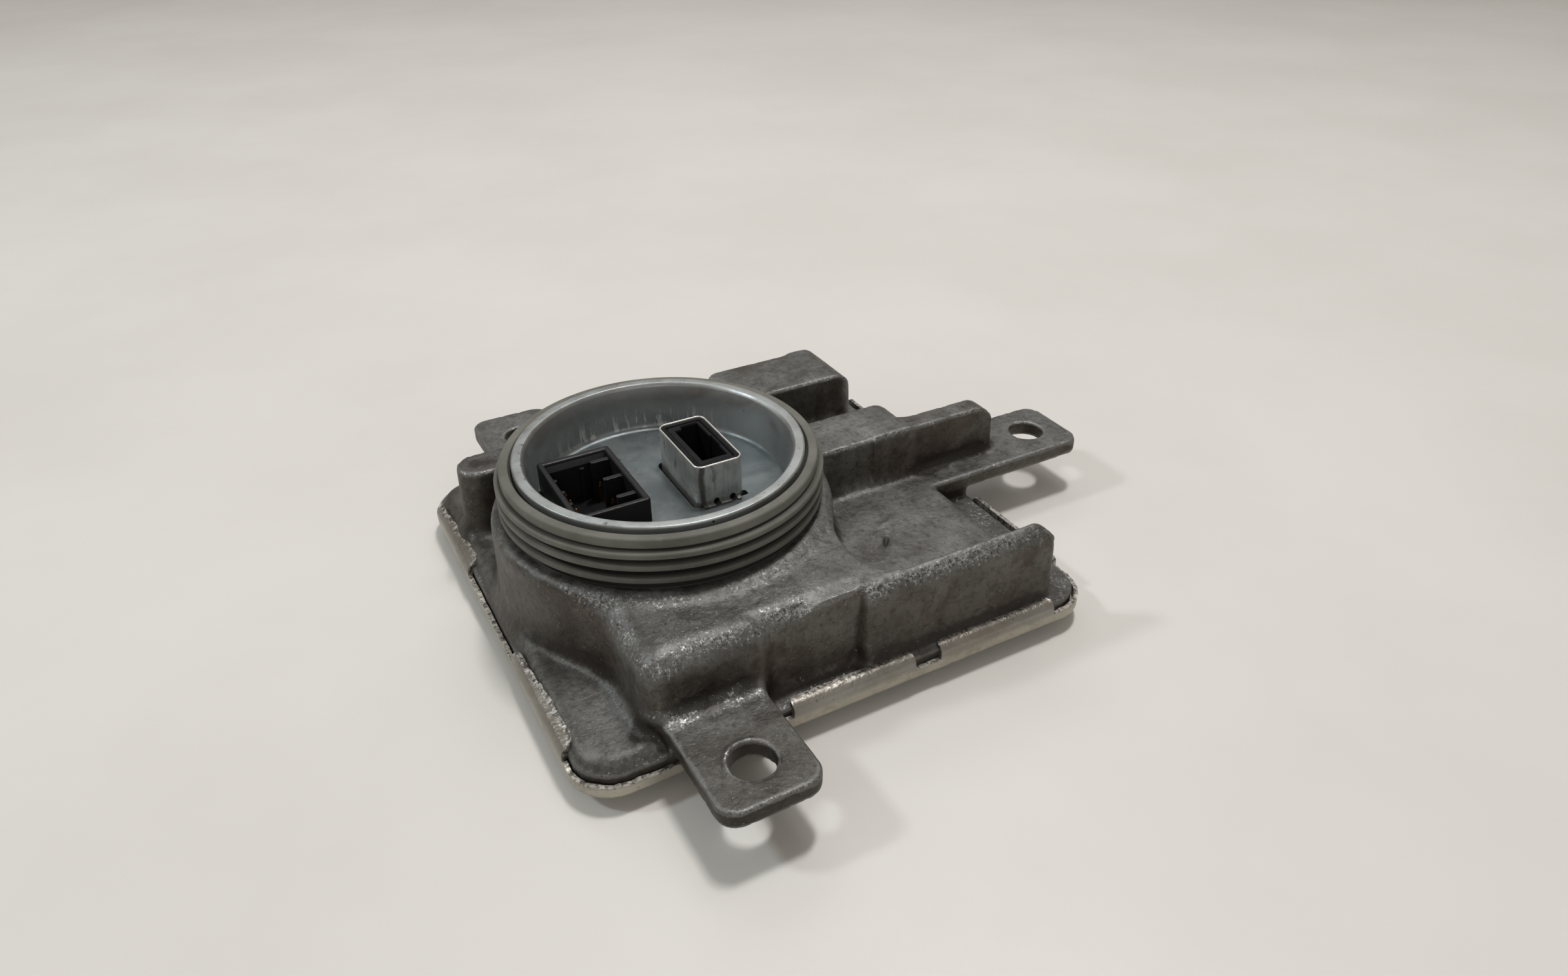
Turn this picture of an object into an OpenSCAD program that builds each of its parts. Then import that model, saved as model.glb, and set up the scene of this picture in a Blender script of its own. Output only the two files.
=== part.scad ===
// Lamp ballast module: a die-cast housing with a round, sealed connector collar, a crimped sheet
// cover, and the power electronics between them.
// Origin: on the collar's axis, on the plane that the cover rests on. +Z runs up the collar.
// +X runs towards the long side of the housing, +Y towards the rear ear. All sizes are in mm.

/* [Collar] */
// Bore radius of the collar at its rim
collar_bore_r = 24; // [22:0.1:24.2]
// Bore radius of the collar at its floor
collar_floor_r = 23.2; // [21:0.1:23.6]
// Outer radius of the collar, which is the seal's seat
collar_outer_r = 26.2; // [26:0.1:27]
// Height of the collar's rim
rim_z = 33.8; // [32:0.1:38]
// Height of the floor inside the collar
floor_z = 24.3; // [24:0.1:25]
// Radius of the drum below the collar
drum_r = 30.5; // [30:0.1:32]
// Height of the shoulder that the seal sits on
shoulder_z = 22.9; // [22.6:0.1:23.4]

/* [Housing] */
// Left edge of the flange
flange_x0 = -33.4; // [-36:0.1:-33]
// Right edge of the flange
flange_x1 = 65.2; // [64:0.1:68]
// Front edge of the flange
flange_y0 = -45.2; // [-47:0.1:-45]
// Rear edge of the flange
flange_y1 = 48.7; // [47:0.1:51]
// Corner radius of the flange
flange_r = 7; // [5:0.1:8]
// Underside of the flange
flange_z0 = 3.4; // [3.4:0.1:3.8]
// Top of the flange
flange_z1 = 6.6; // [6.4:0.1:6.8]
// Top of the low platform on the left
platform_z = 8.4; // [8.2:0.1:8.8]
// Top of the middle tier and of the ears
tier_z = 11.8; // [11.6:0.1:12.4]
// Top of the deck, the ridges and the blocks
deck_z = 22.4; // [22:0.1:22.8]
// Wall thickness of the casting
wall = 2.4; // [2:0.1:2.6]

/* [Ears] */
// Thickness of an ear
ear_t = 3.2; // [3:0.1:3.6]
// Width of an ear
ear_w = 17.4; // [16:0.1:18]
// Radius of an ear's hole
ear_hole_r = 3.7; // [3.2:0.1:4]
// Corner radius of an ear
ear_corner_r = 3.5; // [2:0.1:5]

/* [Cover] */
// Thickness of the cover's sheet
sheet_t = 0.8; // [0.6:0.05:0.8]
// Underside of the cover's rim, above the resting plane
rim_lift = 2.4; // [2.4:0.1:2.6]
// Top of the low lip around the rim
lip_z = 5; // [4.6:0.1:5.6]
// Distance that the pressed pan sits in from the cover's outer edge
pan_inset = 6.9; // [6.5:0.1:7]

/* [Sockets] */
// Length of the harness socket along Y
harness_l = 20.8; // [20:0.1:21]
// Width of the harness socket along X
harness_w = 13.8; // [13.4:0.1:14]
// Height of the harness socket's rim
harness_z = 30.2; // [29:0.1:31]
// Wall thickness of the harness socket
harness_wall = 1.2; // [1:0.1:1.3]
// Length of the output socket's shell along Y
output_l = 17.7; // [17.4:0.1:18]
// Width of the output socket's shell along X
output_w = 9.4; // [9.2:0.1:9.6]
// Height of the output shell's rim
output_z = 32.6; // [31.5:0.1:33]
// Sheet thickness of the output shell
shell_t = 0.35; // [0.3:0.05:0.4]

/* [Electronics] */
// Underside of the circuit board
board_z0 = 4.4; // [4.4:0.1:4.6]
// Thickness of the circuit board
board_t = 1.6; // [1.4:0.1:1.6]
// Pitch of the harness pins along Y
pin_pitch = 3.2; // [3:0.1:3.4]
// Width of a square harness pin
pin_w = 0.8; // [0.6:0.05:0.9]

/* [Hidden] */

$fn = 96;
eps = 0.02;
board_z1 = board_z0 + board_t;

// Plan of the steps in the casting, left to right and front to rear
main_x0 = -21.6;
main_x1 = 56.9;
main_y0 = -40.6;
main_y1 = 44.5;
deck_x1 = 21.5;
deck_y0 = -42.2;
deck_step_x = 0.4;
ridge_x0 = 17.6;
ridge_x1 = 58;
ridge_y0 = -42.6;
ridge_y1 = -39.8;
plateau_x1 = 55.6;
plateau_y0 = -1.2;
plateau_y1 = 11.6;
rib_x1 = 76;
rib_y1 = 3.7;
block_x0 = 28;
block_x1 = 58;
block_y0 = 26.8;
block_y1 = 42;
bump_x0 = 48.5;
bump_y1 = 42.8;
rear_x0 = -30.8;
rear_y0 = 25.2;
rear_y1 = 33.2;
platform_inset = 1.6;

// Centres of the ears' holes, and the outer end of each ear
front_ear = [-11, -56.6];
front_ear_end = -64.8;
rear_ear = [-11.4, 54.6];
rear_ear_end = 65.5;
right_ear = [87.5, 0.7];
right_ear_end = 96;

// Inside of the casting
low_x0 = -28.8;
cavity_y0 = main_y0 + wall;
cavity_y1 = main_y1 - wall;
seal_inset = 1.8;
seal_w = 2;
seal_depth = 1;

// Cover plan: the right side stands off the flange, the other sides hug it
cover_gap = 0.1;
cover_x0 = flange_x0 - 0.2 - sheet_t;
cover_x1 = flange_x1 + 0.6 + sheet_t;
cover_y0 = flange_y0 - cover_gap - sheet_t;
cover_y1 = flange_y1 + 0.2 + sheet_t;
cover_r = flange_r + sheet_t;
fold_z = flange_z1 + 0.1;
fold_r = 1.7;
fold_reach = 2.4;
upright_z = 6.9;

// Sockets
harness_x0 = -20;
harness_x1 = harness_x0 + harness_w;
harness_y0 = -harness_l / 2;
harness_lap = 1.5;
pin_x = [-16.6, -9.7];
contact_y = [-4.4, 0, 4.4];
output_x0 = 3;
output_y0 = -9.2;
output_cx = output_x0 + output_w / 2;
output_cy = output_y0 + output_l / 2;
socket_flange_t = 1.6;
under_floor_z = 22;
gasket_t = 0.6;

boss_xy = [[-23.4, -34], [50.2, -34.4], [50.2, 24.4], [-23.4, 38.2]];
boss_r = 3.2;
screw_r = 1.25;

// A rectangle from one corner to the other with true round corners
module rounded_rect(x0, x1, y0, y1, r) {
    translate([x0 + r, y0]) square([x1 - x0 - 2 * r, y1 - y0]);
    translate([x0, y0 + r]) square([x1 - x0, y1 - y0 - 2 * r]);
    for (x = [x0 + r, x1 - r], y = [y0 + r, y1 - r]) translate([x, y]) circle(r);
}

// A block with round vertical edges
module block(x0, x1, y0, y1, z0, z1, r) {
    translate([0, 0, z0]) linear_extrude(z1 - z0) rounded_rect(x0, x1, y0, y1, r);
}

// A plain box from one corner to the other
module box(x0, x1, y0, y1, z0, z1) {
    translate([x0, y0, z0]) cube([x1 - x0, y1 - y0, z1 - z0]);
}

// The flange's outline, moved in by a distance
module flange_outline(inset) {
    rounded_rect(flange_x0 + inset, flange_x1 - inset, flange_y0 + inset, flange_y1 - inset,
        flange_r - inset);
}

module sealant_ring(z0, z1) {
    translate([0, 0, z0]) linear_extrude(z1 - z0) difference() {
        flange_outline(seal_inset);
        flange_outline(seal_inset + seal_w);
    }
}

module ears() {
    z0 = tier_z - ear_t;
    half = ear_w / 2;
    block(front_ear.x - half, front_ear.x + half, front_ear_end, -30, z0, tier_z, ear_corner_r);
    block(rear_ear.x - half, rear_ear.x + half, 30, rear_ear_end, z0, tier_z, ear_corner_r);
    block(40, right_ear_end, right_ear.y - half, right_ear.y + half, z0, tier_z, ear_corner_r);
    // Roots, where each ear stands on the flange
    box(front_ear.x - half, front_ear.x + half, flange_y0, -30, flange_z0, z0 + eps);
    box(rear_ear.x - half, rear_ear.x + half, 30, flange_y1, flange_z0, z0 + eps);
    box(40, flange_x1, right_ear.y - half, right_ear.y + half, flange_z0, z0 + eps);
}

module casting_outside() {
    translate([0, 0, flange_z0]) linear_extrude(flange_z1 - flange_z0) flange_outline(0);
    block(flange_x0 + platform_inset, 0, flange_y0 + platform_inset, flange_y1 - platform_inset,
        flange_z0, platform_z, flange_r - platform_inset);
    block(main_x0, main_x1, main_y0, main_y1, flange_z0, tier_z, 3);
    block(main_x0, deck_step_x, deck_y0, 0, flange_z0, deck_z, 3);
    block(main_x0, deck_x1, main_y0, 0, flange_z0, deck_z, 3);
    block(ridge_x0, ridge_x1, ridge_y0, ridge_y1, flange_z0, deck_z, 1.3);
    block(0, plateau_x1, plateau_y0, plateau_y1, flange_z0, deck_z, 2);
    block(plateau_x1 - 8, rib_x1, plateau_y0, rib_y1, tier_z - ear_t, deck_z, 2);
    block(block_x0, block_x1, block_y0, block_y1, flange_z0, deck_z, 3);
    block(bump_x0, block_x1, block_y0, bump_y1, flange_z0, deck_z, 2);
    block(rear_x0, block_x0 + 6, rear_y0, rear_y1, flange_z0, deck_z, 3);
    translate([0, 0, flange_z0]) cylinder(r = drum_r, h = shoulder_z - flange_z0);
    translate([0, 0, shoulder_z - eps]) cylinder(r = collar_outer_r, h = rim_z - shoulder_z + eps);
    ears();
}

module casting_inside() {
    z0 = flange_z0 - 1;
    // Under the platform, the middle tier, the deck and the raised parts
    block(low_x0, 0, cavity_y0, cavity_y1, z0, platform_z - 2, 3);
    block(main_x0 + wall, main_x1 - wall, cavity_y0, cavity_y1, z0, tier_z - wall, 3);
    block(main_x0 + wall, deck_x1 - wall, cavity_y0, 0, z0, deck_z - wall, 2);
    block(0, plateau_x1 - wall, plateau_y0 + wall, plateau_y1 - wall, z0, deck_z - wall, 2);
    block(block_x0 + wall, block_x1 - wall, block_y0 + wall, block_y1 - wall, z0, deck_z - wall, 2);
    translate([0, 0, z0]) cylinder(r = drum_r - wall, h = shoulder_z - wall - z0);
    translate([0, 0, z0]) cylinder(r = collar_floor_r - 1.2, h = under_floor_z - z0);
}

// The step under the floor takes the harness socket's flange and its gasket
module socket_openings() {
    lap = harness_lap + 0.1;
    box(harness_x0 - lap, harness_x1 + lap, harness_y0 - lap, -harness_y0 + lap, 10, under_floor_z);
    box(harness_x0 - 0.1, harness_x1 + 0.1, harness_y0 - 0.1, -harness_y0 + 0.1, 20, 30);
    box(output_x0 - 0.6, output_x0 + output_w + 0.1, output_y0 - 0.1, output_y0 + output_l + 0.1,
        20, 30);
}

// The square pins of the harness socket, between two heights
module pin_grid(z0, z1) {
    for (x = pin_x, i = [-2:2]) translate([x, i * pin_pitch, 0])
        box(-pin_w / 2, pin_w / 2, -pin_w / 2, pin_w / 2, z0, z1);
}

// The three flat contacts of the output socket, between two heights
module contact_row(z0, z1) {
    for (y = contact_y) box(7.5, 8.3, y - 1.1, y + 1.1, z0, z1);
}

// The bosses grow down from the platform on the left and from the middle tier on the right
module board_bosses() {
    for (p = boss_xy) translate([p.x, p.y, board_z1])
        cylinder(r = boss_r, h = (p.x < 0 ? platform_z : tier_z) - 1 - board_z1);
}

module housing() color("#67665f") difference() {
    union() {
        difference() {
            casting_outside();
            casting_inside();
        }
        // Floor of the collar
        translate([0, 0, under_floor_z])
            cylinder(r = collar_outer_r - 1, h = floor_z - under_floor_z);
        board_bosses();
    }
    translate([0, 0, floor_z])
        cylinder(r1 = collar_floor_r, r2 = collar_bore_r, h = rim_z - floor_z + eps / 2);
    socket_openings();
    sealant_ring(flange_z0 - 1, flange_z0 + seal_depth);
    for (p = [front_ear, rear_ear, right_ear]) translate([p.x, p.y, 0])
        cylinder(r = ear_hole_r, h = 20);
    for (p = boss_xy) translate([p.x, p.y, 0]) cylinder(r = screw_r, h = platform_z - 0.6);
}

// Cross-section of a tab that is folded over the flange, standing on the lip. The outer face is on
// the Y axis and the fold runs towards +X.
module folded_tab_section() {
    top = fold_z + sheet_t;
    translate([0, lip_z - eps]) square([sheet_t, top - fold_r - lip_z + eps]);
    translate([fold_r, top - sheet_t]) square([fold_reach - fold_r, sheet_t]);
    translate([fold_r, top - fold_r]) intersection() {
        difference() {
            circle(fold_r);
            circle(fold_r - sheet_t);
        }
        translate([-fold_r, 0]) square(fold_r);
    }
}

// A folded tab along the front or rear edge (along X) or the left edge (along Y)
module front_tab(x0, x1) {
    translate([x0, cover_y0, 0]) rotate([90, 0, 90]) linear_extrude(x1 - x0) folded_tab_section();
}

module rear_tab(x0, x1) {
    translate([x1, cover_y1, 0]) rotate([90, 0, -90]) linear_extrude(x1 - x0) folded_tab_section();
}

module left_tab(y0, y1) {
    translate([cover_x0, y1, 0]) rotate([90, 0, 0]) linear_extrude(y1 - y0) folded_tab_section();
}

module cover_outline(inset, r) {
    rounded_rect(cover_x0 + inset, cover_x1 - inset, cover_y0 + inset, cover_y1 - inset, r);
}

module bottom_cover() color("#c6c1b2") {
    pan_r = 4;
    difference() {
        union() {
            translate([0, 0, rim_lift]) linear_extrude(lip_z - rim_lift) cover_outline(0, cover_r);
            linear_extrude(rim_lift + sheet_t) cover_outline(pan_inset, pan_r);
        }
        translate([0, 0, rim_lift + sheet_t]) linear_extrude(10)
            cover_outline(sheet_t, cover_r - sheet_t);
        translate([0, 0, sheet_t]) linear_extrude(10)
            cover_outline(pan_inset + sheet_t, pan_r - sheet_t);
    }
    front_tab(2, 26);
    front_tab(31.3, 56.5);
    rear_tab(4, 28);
    rear_tab(34, 58);
    left_tab(-36.5, -10);
    left_tab(18, 41.8);
    // Two tabs on the right were left standing
    box(cover_x1 - sheet_t, cover_x1, -34.8, -9.4, lip_z - eps, upright_z);
    box(cover_x1 - sheet_t, cover_x1, 17, 41, lip_z - eps, upright_z);
}

module cover_sealant() color("#8f8c84") sealant_ring(rim_lift + sheet_t, flange_z0 + seal_depth);

// One rib of the seal, with its flat side up
function rib_points(top, crest_r, root_r) = [
    [root_r, top - 0.05], [crest_r - 0.2, top - 0.3], [crest_r, top - 0.55],
    [crest_r - 0.25, top - 0.9], [root_r, top - 1.35]];

module collar_seal() color("#6f7064") {
    seal_top = rim_z - 0.8;
    root_r = 27.5;
    crest_r = 29.6;
    rib_tops = [seal_top - 2, seal_top - 4.3, seal_top - 6.8];
    points = concat(
        [[collar_outer_r, shoulder_z], [collar_outer_r, seal_top], [28.2, seal_top],
            [28.5, seal_top - 0.3], [28.5, seal_top - 1.6], [27.9, seal_top - 1.8]],
        [for (top = rib_tops) each rib_points(top, crest_r, root_r)],
        [[root_r, shoulder_z + 1.3], [28.6, shoulder_z + 0.9], [28.6, shoulder_z]]);
    rotate_extrude($fn = 128) polygon(points);
}

module harness_socket() color("#17171a") difference() {
    union() {
        block(harness_x0, harness_x1, harness_y0, -harness_y0, 20.4, harness_z, 0.5);
        box(harness_x0 - harness_lap, harness_x1 + harness_lap, harness_y0 - harness_lap,
            -harness_y0 + harness_lap, under_floor_z - gasket_t - socket_flange_t,
            under_floor_z - gasket_t);
    }
    difference() {
        box(harness_x0 + harness_wall, harness_x1 - harness_wall, harness_y0 + harness_wall,
            -harness_y0 - harness_wall, 21.2, harness_z + 1);
        // Three keying ribs on the right wall, and three short ones on the left
        for (y = [-5.9, 0.6, 7.2])
            box(harness_x1 - harness_wall - 3.5, harness_x1, y - 0.45, y + 0.45, 20, harness_z - 0.5);
        for (y = [-3.1, 1.1, 5.3])
            box(harness_x0, harness_x0 + harness_wall + 0.8, y - 0.4, y + 0.4, 20, harness_z - 0.5);
        box(-12.8, -11.8, -harness_y0 - harness_wall - 0.5, -harness_y0, 20, harness_z - 1);
    }
    pin_grid(15, 25);
}

module harness_gasket() color("#3a3f3c") {
    translate([0, 0, under_floor_z - gasket_t]) linear_extrude(gasket_t) difference() {
        translate([harness_x0 - 1.4, harness_y0 - 1.4]) square([harness_w + 2.8, harness_l + 2.8]);
        translate([harness_x0, harness_y0]) square([harness_w, harness_l]);
    }
}

module harness_pins() color("#c8963c") pin_grid(board_z0 - 1.2, 25.4);

// Outline of the output socket, moved in by a distance
module output_outline(inset) {
    translate([output_x0, output_y0])
        rounded_rect(inset, output_w - inset, inset, output_l - inset, 1.6 - inset * 0.8);
}

module output_shell() color("#b9b9b3") {
    translate([0, 0, 18]) linear_extrude(output_z - 18) difference() {
        output_outline(0);
        output_outline(shell_t);
    }
    // Foot on the collar's floor, with two round notches
    difference() {
        box(output_x0 + 1.2, output_x0 + output_w - 1.2, output_y0 - 1, output_y0 + eps,
            floor_z, floor_z + shell_t);
        for (x = [output_cx - 1.9, output_cx + 1.9])
            translate([x, output_y0 - 0.5, floor_z - 1]) cylinder(r = 0.45, h = 3);
    }
}

module output_gasket() color("#101012") {
    translate([0, 0, 24]) linear_extrude(output_z - 24.3) difference() {
        output_outline(shell_t);
        output_outline(shell_t + 0.7);
    }
}

module output_insert() color("#3b3c40") difference() {
    union() {
        translate([0, 0, 24]) linear_extrude(output_z - 24.4) output_outline(shell_t + 0.7);
        translate([0, 0, 16]) linear_extrude(8) output_outline(shell_t + 0.02);
    }
    // Mouth, with a key step in its rear left corner
    difference() {
        box(5.4, 10.4, -6.6, 6.7, 19, 40);
        box(5, 6.9, 5.6, 7, 15, 40);
    }
    box(10.3, 10.75, -3.1, 0.9, 19, 40);
    contact_row(10, 20);
}

module output_contacts() color("#c9c2a8") contact_row(board_z0 - 1.2, 25.5);

// A bent strip that joins the output shell to the board's ground
module ground_spring() color("#b08d4a") {
    x = output_x0 + output_w;
    box(x, x + 0.4, -3, 3, board_z1 + 0.4, 20);
    box(x, x + 5, -3, 3, board_z1, board_z1 + 0.4);
}

board_x0 = -27.8;
board_x1 = main_x1 - wall - 1;
board_y0 = cavity_y0 + 0.8;
board_y1 = cavity_y1 - 0.8;

module circuit_board() color("#2f5a3a") difference() {
    block(board_x0, board_x1, board_y0, board_y1, board_z0, board_z1, 3);
    for (p = boss_xy) translate([p.x, p.y, 0]) cylinder(r = screw_r + 0.3, h = 10);
    pin_grid(0, 10);
    contact_row(0, 10);
    for (p = transformer_pin_xy) translate([p.x, p.y, 0]) cylinder(r = 0.4, h = 10);
}

module board_screws() color("#9aa0a6") for (p = boss_xy) translate([p.x, p.y, 0]) difference() {
    union() {
        translate([0, 0, board_z0 - 1.8]) cylinder(r = 2.6, h = 1.8);
        translate([0, 0, board_z0 - eps]) cylinder(r = screw_r, h = 3.2);
    }
    translate([0, 0, board_z0 - 2.8]) cylinder(r = 1.2, h = 2, $fn = 6);
}

// Transformer: two E-shaped ferrite halves around a bobbin that stands on the board
transformer_xy = [-6, -25];
core_l = 22;
core_w = 12;
core_z0 = 8.4;
core_h = 10.4;
window_l = 14;
transformer_pin_xy = [for (side = [-1, 1], i = [-2:2])
    [transformer_xy.x + i * 2.6, transformer_xy.y + side * 7]];

module transformer_core() color("#3d3f44") {
    translate([transformer_xy.x, transformer_xy.y, core_z0]) difference() {
        translate([-core_l / 2, -core_w / 2, 0]) cube([core_l, core_w, core_h]);
        difference() {
            translate([-window_l / 2, -core_w, 2.6]) cube([window_l, 2 * core_w, core_h - 5.2]);
            translate([0, 0, -1]) cylinder(r = 3.2, h = core_h + 2);
        }
    }
}

module transformer_bobbin() color("#23262b") {
    z_base = board_z1 + 0.4;
    translate([transformer_xy.x, transformer_xy.y, 0]) {
        difference() {
            union() {
                translate([0, 0, core_z0 + 2.6]) cylinder(r = 4, h = core_h - 5.2);
                for (z = [core_z0 + 2.6, core_z0 + core_h - 3.2])
                    translate([0, 0, z]) cylinder(r = 6.6, h = 0.6);
            }
            cylinder(r = 3.25, h = 40);
        }
        for (side = [-1, 1])
            translate([-6.8, side * 7.25 - 1.25, z_base]) difference() {
                cube([13.6, 2.5, core_z0 - z_base + 2.6]);
                for (i = [-2:2]) translate([6.8 + i * 2.6, 1.25 - side * 0.25, -1])
                    cylinder(r = 0.4, h = 3);
            }
    }
}

module transformer_winding() color("#b5622d") {
    translate([transformer_xy.x, transformer_xy.y, core_z0 + 3.2]) difference() {
        cylinder(r = 6.1, h = core_h - 6.4);
        translate([0, 0, -1]) cylinder(r = 4, h = core_h);
    }
}

module transformer_pins() color("#c9c2a8") {
    for (p = transformer_pin_xy) translate([p.x, p.y, board_z0 - 1]) cylinder(r = 0.4, h = 5);
}

// Input filter: a ring core that lies under the rear block, with two windings
filter_xy = [41.8, 34.4];

module filter_core() color("#4b4f52") {
    translate([filter_xy.x, filter_xy.y, 12.6]) rotate([90, 0, 0]) rotate_extrude()
        translate([3.2, -2.5]) square([2.4, 5]);
}

module filter_winding() color("#b5622d") {
    translate([filter_xy.x, filter_xy.y, 12.6]) rotate([90, 0, 0]) for (start = [20, 200])
        rotate([0, 0, start]) rotate_extrude(angle = 140) difference() {
            translate([2.4, -3.3]) square([4, 6.6]);
            translate([3.2, -2.5]) square([2.4, 5]);
        }
}

// Rod choke that lies under the plateau
choke_y = 5.2;
choke_z = 11;

module choke_rod() color("#3d3f44") {
    translate([26, choke_y, choke_z]) rotate([0, 90, 0]) cylinder(r = 2.4, h = 24);
    for (x = [26, 48]) box(x, x + 2, choke_y - 2.2, choke_y + 2.2, board_z1, choke_z);
}

module choke_winding() color("#c07a3c") {
    translate([29, choke_y, choke_z]) rotate([0, 90, 0]) difference() {
        cylinder(r = 3.5, h = 18);
        translate([0, 0, -1]) cylinder(r = 2.4, h = 20);
    }
}

can_xy = [[12.4, -31.6], [12.4, -20.4]];
can_r = 4.6;

module bulk_capacitors() color("#2c3a5c") {
    for (p = can_xy) translate([p.x, p.y, board_z1 + 0.8]) difference() {
        cylinder(r = can_r, h = 12);
        translate([0, 0, 11.8]) cylinder(r = can_r - 0.9, h = 1);
    }
}

module capacitor_bungs() color("#151515") {
    for (p = can_xy) translate([p.x, p.y, board_z1]) cylinder(r = can_r - 0.5, h = 0.8);
}

module film_capacitors() color("#a8742c") {
    block(-16, 2, 14.4, 21.4, board_z1, board_z1 + 11, 0.8);
    block(4.5, 16.5, 13.4, 19.4, board_z1, board_z1 + 9, 0.8);
}

transistor_xy = [[27, -30], [36, -30], [27, -20], [36, -20], [45.4, -22.4]];

module power_transistors() color("#1b1c1f") {
    for (p = transistor_xy)
        box(p.x - 3.3, p.x + 3.3, p.y - 3, p.y + 3, board_z1 + 0.5, board_z1 + 2.4);
}

module transistor_tabs() color("#b4b7ba") {
    for (p = transistor_xy) {
        box(p.x - 2.7, p.x + 2.7, p.y - 3, p.y + 4, board_z1, board_z1 + 0.5);
        for (dx = [-2.3, 2.3])
            box(p.x + dx - 0.4, p.x + dx + 0.4, p.y - 5, p.y - 3, board_z1, board_z1 + 0.5);
    }
}

module thermal_pad() color("#7b8f9c") {
    block(23.4, 39.8, -33.4, -16.6, board_z1 + 2.4, tier_z - wall, 1);
    block(36, 49.2, -28, -16.6, board_z1 + 2.4, tier_z - wall, 1);
}

chip_xy = [34, -8.5];

module control_chip() color("#1a1b1e") {
    box(chip_xy.x - 5, chip_xy.x + 5, chip_xy.y - 5, chip_xy.y + 5, board_z1 + 0.3, board_z1 + 1.7);
}

module control_chip_leads() color("#c3c6c8") {
    for (turn = [0:90:270], i = [-5:5]) translate([chip_xy.x, chip_xy.y, board_z1])
        rotate([0, 0, turn]) translate([5, i * 0.8 - 0.15, 0]) cube([1, 0.3, 0.5]);
}

module driver_chips() color("#1a1b1e") {
    for (p = [[30, 18], [40, 18], [-24, 0]])
        box(p.x - 2, p.x + 2, p.y - 2.5, p.y + 2.5, board_z1, board_z1 + 1.6);
}

module shunt_resistors() color("#25282c") {
    for (x = [24, 31, 38]) box(x - 3.1, x + 3.1, 23.4, 26.4, board_z1, board_z1 + 0.8);
}

module ceramic_capacitors() color("#b79a72") {
    for (x = [44, 47.5, 51], y = [-12, -8, -4])
        box(x - 1, x + 1, y - 0.65, y + 0.65, board_z1, board_z1 + 1.3);
}

module rectifier_diodes() color("#202226") {
    for (x = [46, 51]) box(x - 1.6, x + 1.6, 16, 20.6, board_z1, board_z1 + 2.3);
}

housing();
bottom_cover();
cover_sealant();
collar_seal();
harness_socket();
harness_gasket();
harness_pins();
output_shell();
output_gasket();
output_insert();
output_contacts();
ground_spring();
circuit_board();
board_screws();
transformer_core();
transformer_bobbin();
transformer_winding();
transformer_pins();
filter_core();
filter_winding();
choke_rod();
choke_winding();
bulk_capacitors();
capacitor_bungs();
film_capacitors();
power_transistors();
transistor_tabs();
thermal_pad();
control_chip();
control_chip_leads();
driver_chips();
shunt_resistors();
ceramic_capacitors();
rectifier_diodes();
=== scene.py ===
"""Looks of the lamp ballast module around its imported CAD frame. Sizes in this script are in millimetres
unless a name says otherwise; meshes are scaled to metres as they are made."""
import math

import bmesh
import bpy
import numpy as np
from mathutils import Matrix, Vector


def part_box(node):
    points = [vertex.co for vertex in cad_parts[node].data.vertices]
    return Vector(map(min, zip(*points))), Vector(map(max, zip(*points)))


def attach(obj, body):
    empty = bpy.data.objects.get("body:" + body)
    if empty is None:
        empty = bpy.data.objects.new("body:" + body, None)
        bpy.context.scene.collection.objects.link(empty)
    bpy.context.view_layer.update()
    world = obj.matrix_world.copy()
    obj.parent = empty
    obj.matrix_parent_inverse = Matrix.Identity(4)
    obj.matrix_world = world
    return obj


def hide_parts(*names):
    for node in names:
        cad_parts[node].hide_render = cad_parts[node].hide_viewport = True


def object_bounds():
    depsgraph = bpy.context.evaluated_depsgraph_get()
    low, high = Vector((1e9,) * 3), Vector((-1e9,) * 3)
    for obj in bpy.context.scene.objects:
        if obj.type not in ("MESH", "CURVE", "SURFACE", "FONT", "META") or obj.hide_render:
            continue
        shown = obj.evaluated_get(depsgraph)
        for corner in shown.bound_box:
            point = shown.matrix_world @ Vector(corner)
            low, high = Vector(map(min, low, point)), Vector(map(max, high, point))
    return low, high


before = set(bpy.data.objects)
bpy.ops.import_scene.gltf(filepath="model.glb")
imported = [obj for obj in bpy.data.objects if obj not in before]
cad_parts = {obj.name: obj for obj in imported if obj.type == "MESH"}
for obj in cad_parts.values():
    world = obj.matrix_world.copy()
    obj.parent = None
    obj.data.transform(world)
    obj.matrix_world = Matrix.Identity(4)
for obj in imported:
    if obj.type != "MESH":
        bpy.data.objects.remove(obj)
cad_low, cad_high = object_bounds()
MM = 0.001


def span(node):
    """A CAD node's lowest and highest corners in millimetres."""
    low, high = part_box(node)
    return np.array(low) / MM, np.array(high) / MM


# ---------------- measures, from the frame where it gives them
HOUSING_LOW, HOUSING_HIGH = span("housing")
COVER_LOW, COVER_HIGH = span("bottom_cover")
SEAL_LOW, SEAL_HIGH = span("collar_seal")
SOCKET_LOW, SOCKET_HIGH = span("harness_socket")
SHELL_LOW, SHELL_HIGH = span("output_shell")

# Heights on the casting
FLANGE0 = HOUSING_LOW[2]
FLANGE1 = FLANGE0 + 3.2
PLATFORM = FLANGE0 + 5.0
TIER = FLANGE0 + 8.4
EAR0 = TIER - 3.2
SHOULDER = SEAL_LOW[2]
DECK = SHOULDER - 0.5
RIM = HOUSING_HIGH[2]
FLOOR = RIM - 9.5

# Radii of the round parts, and the walls between the rooms and the outside
DRUM = 30.5
COLLAR = 26.2
BORE = 24.0
BORE_FLOOR = 23.2
WALL = 2.4

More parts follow.
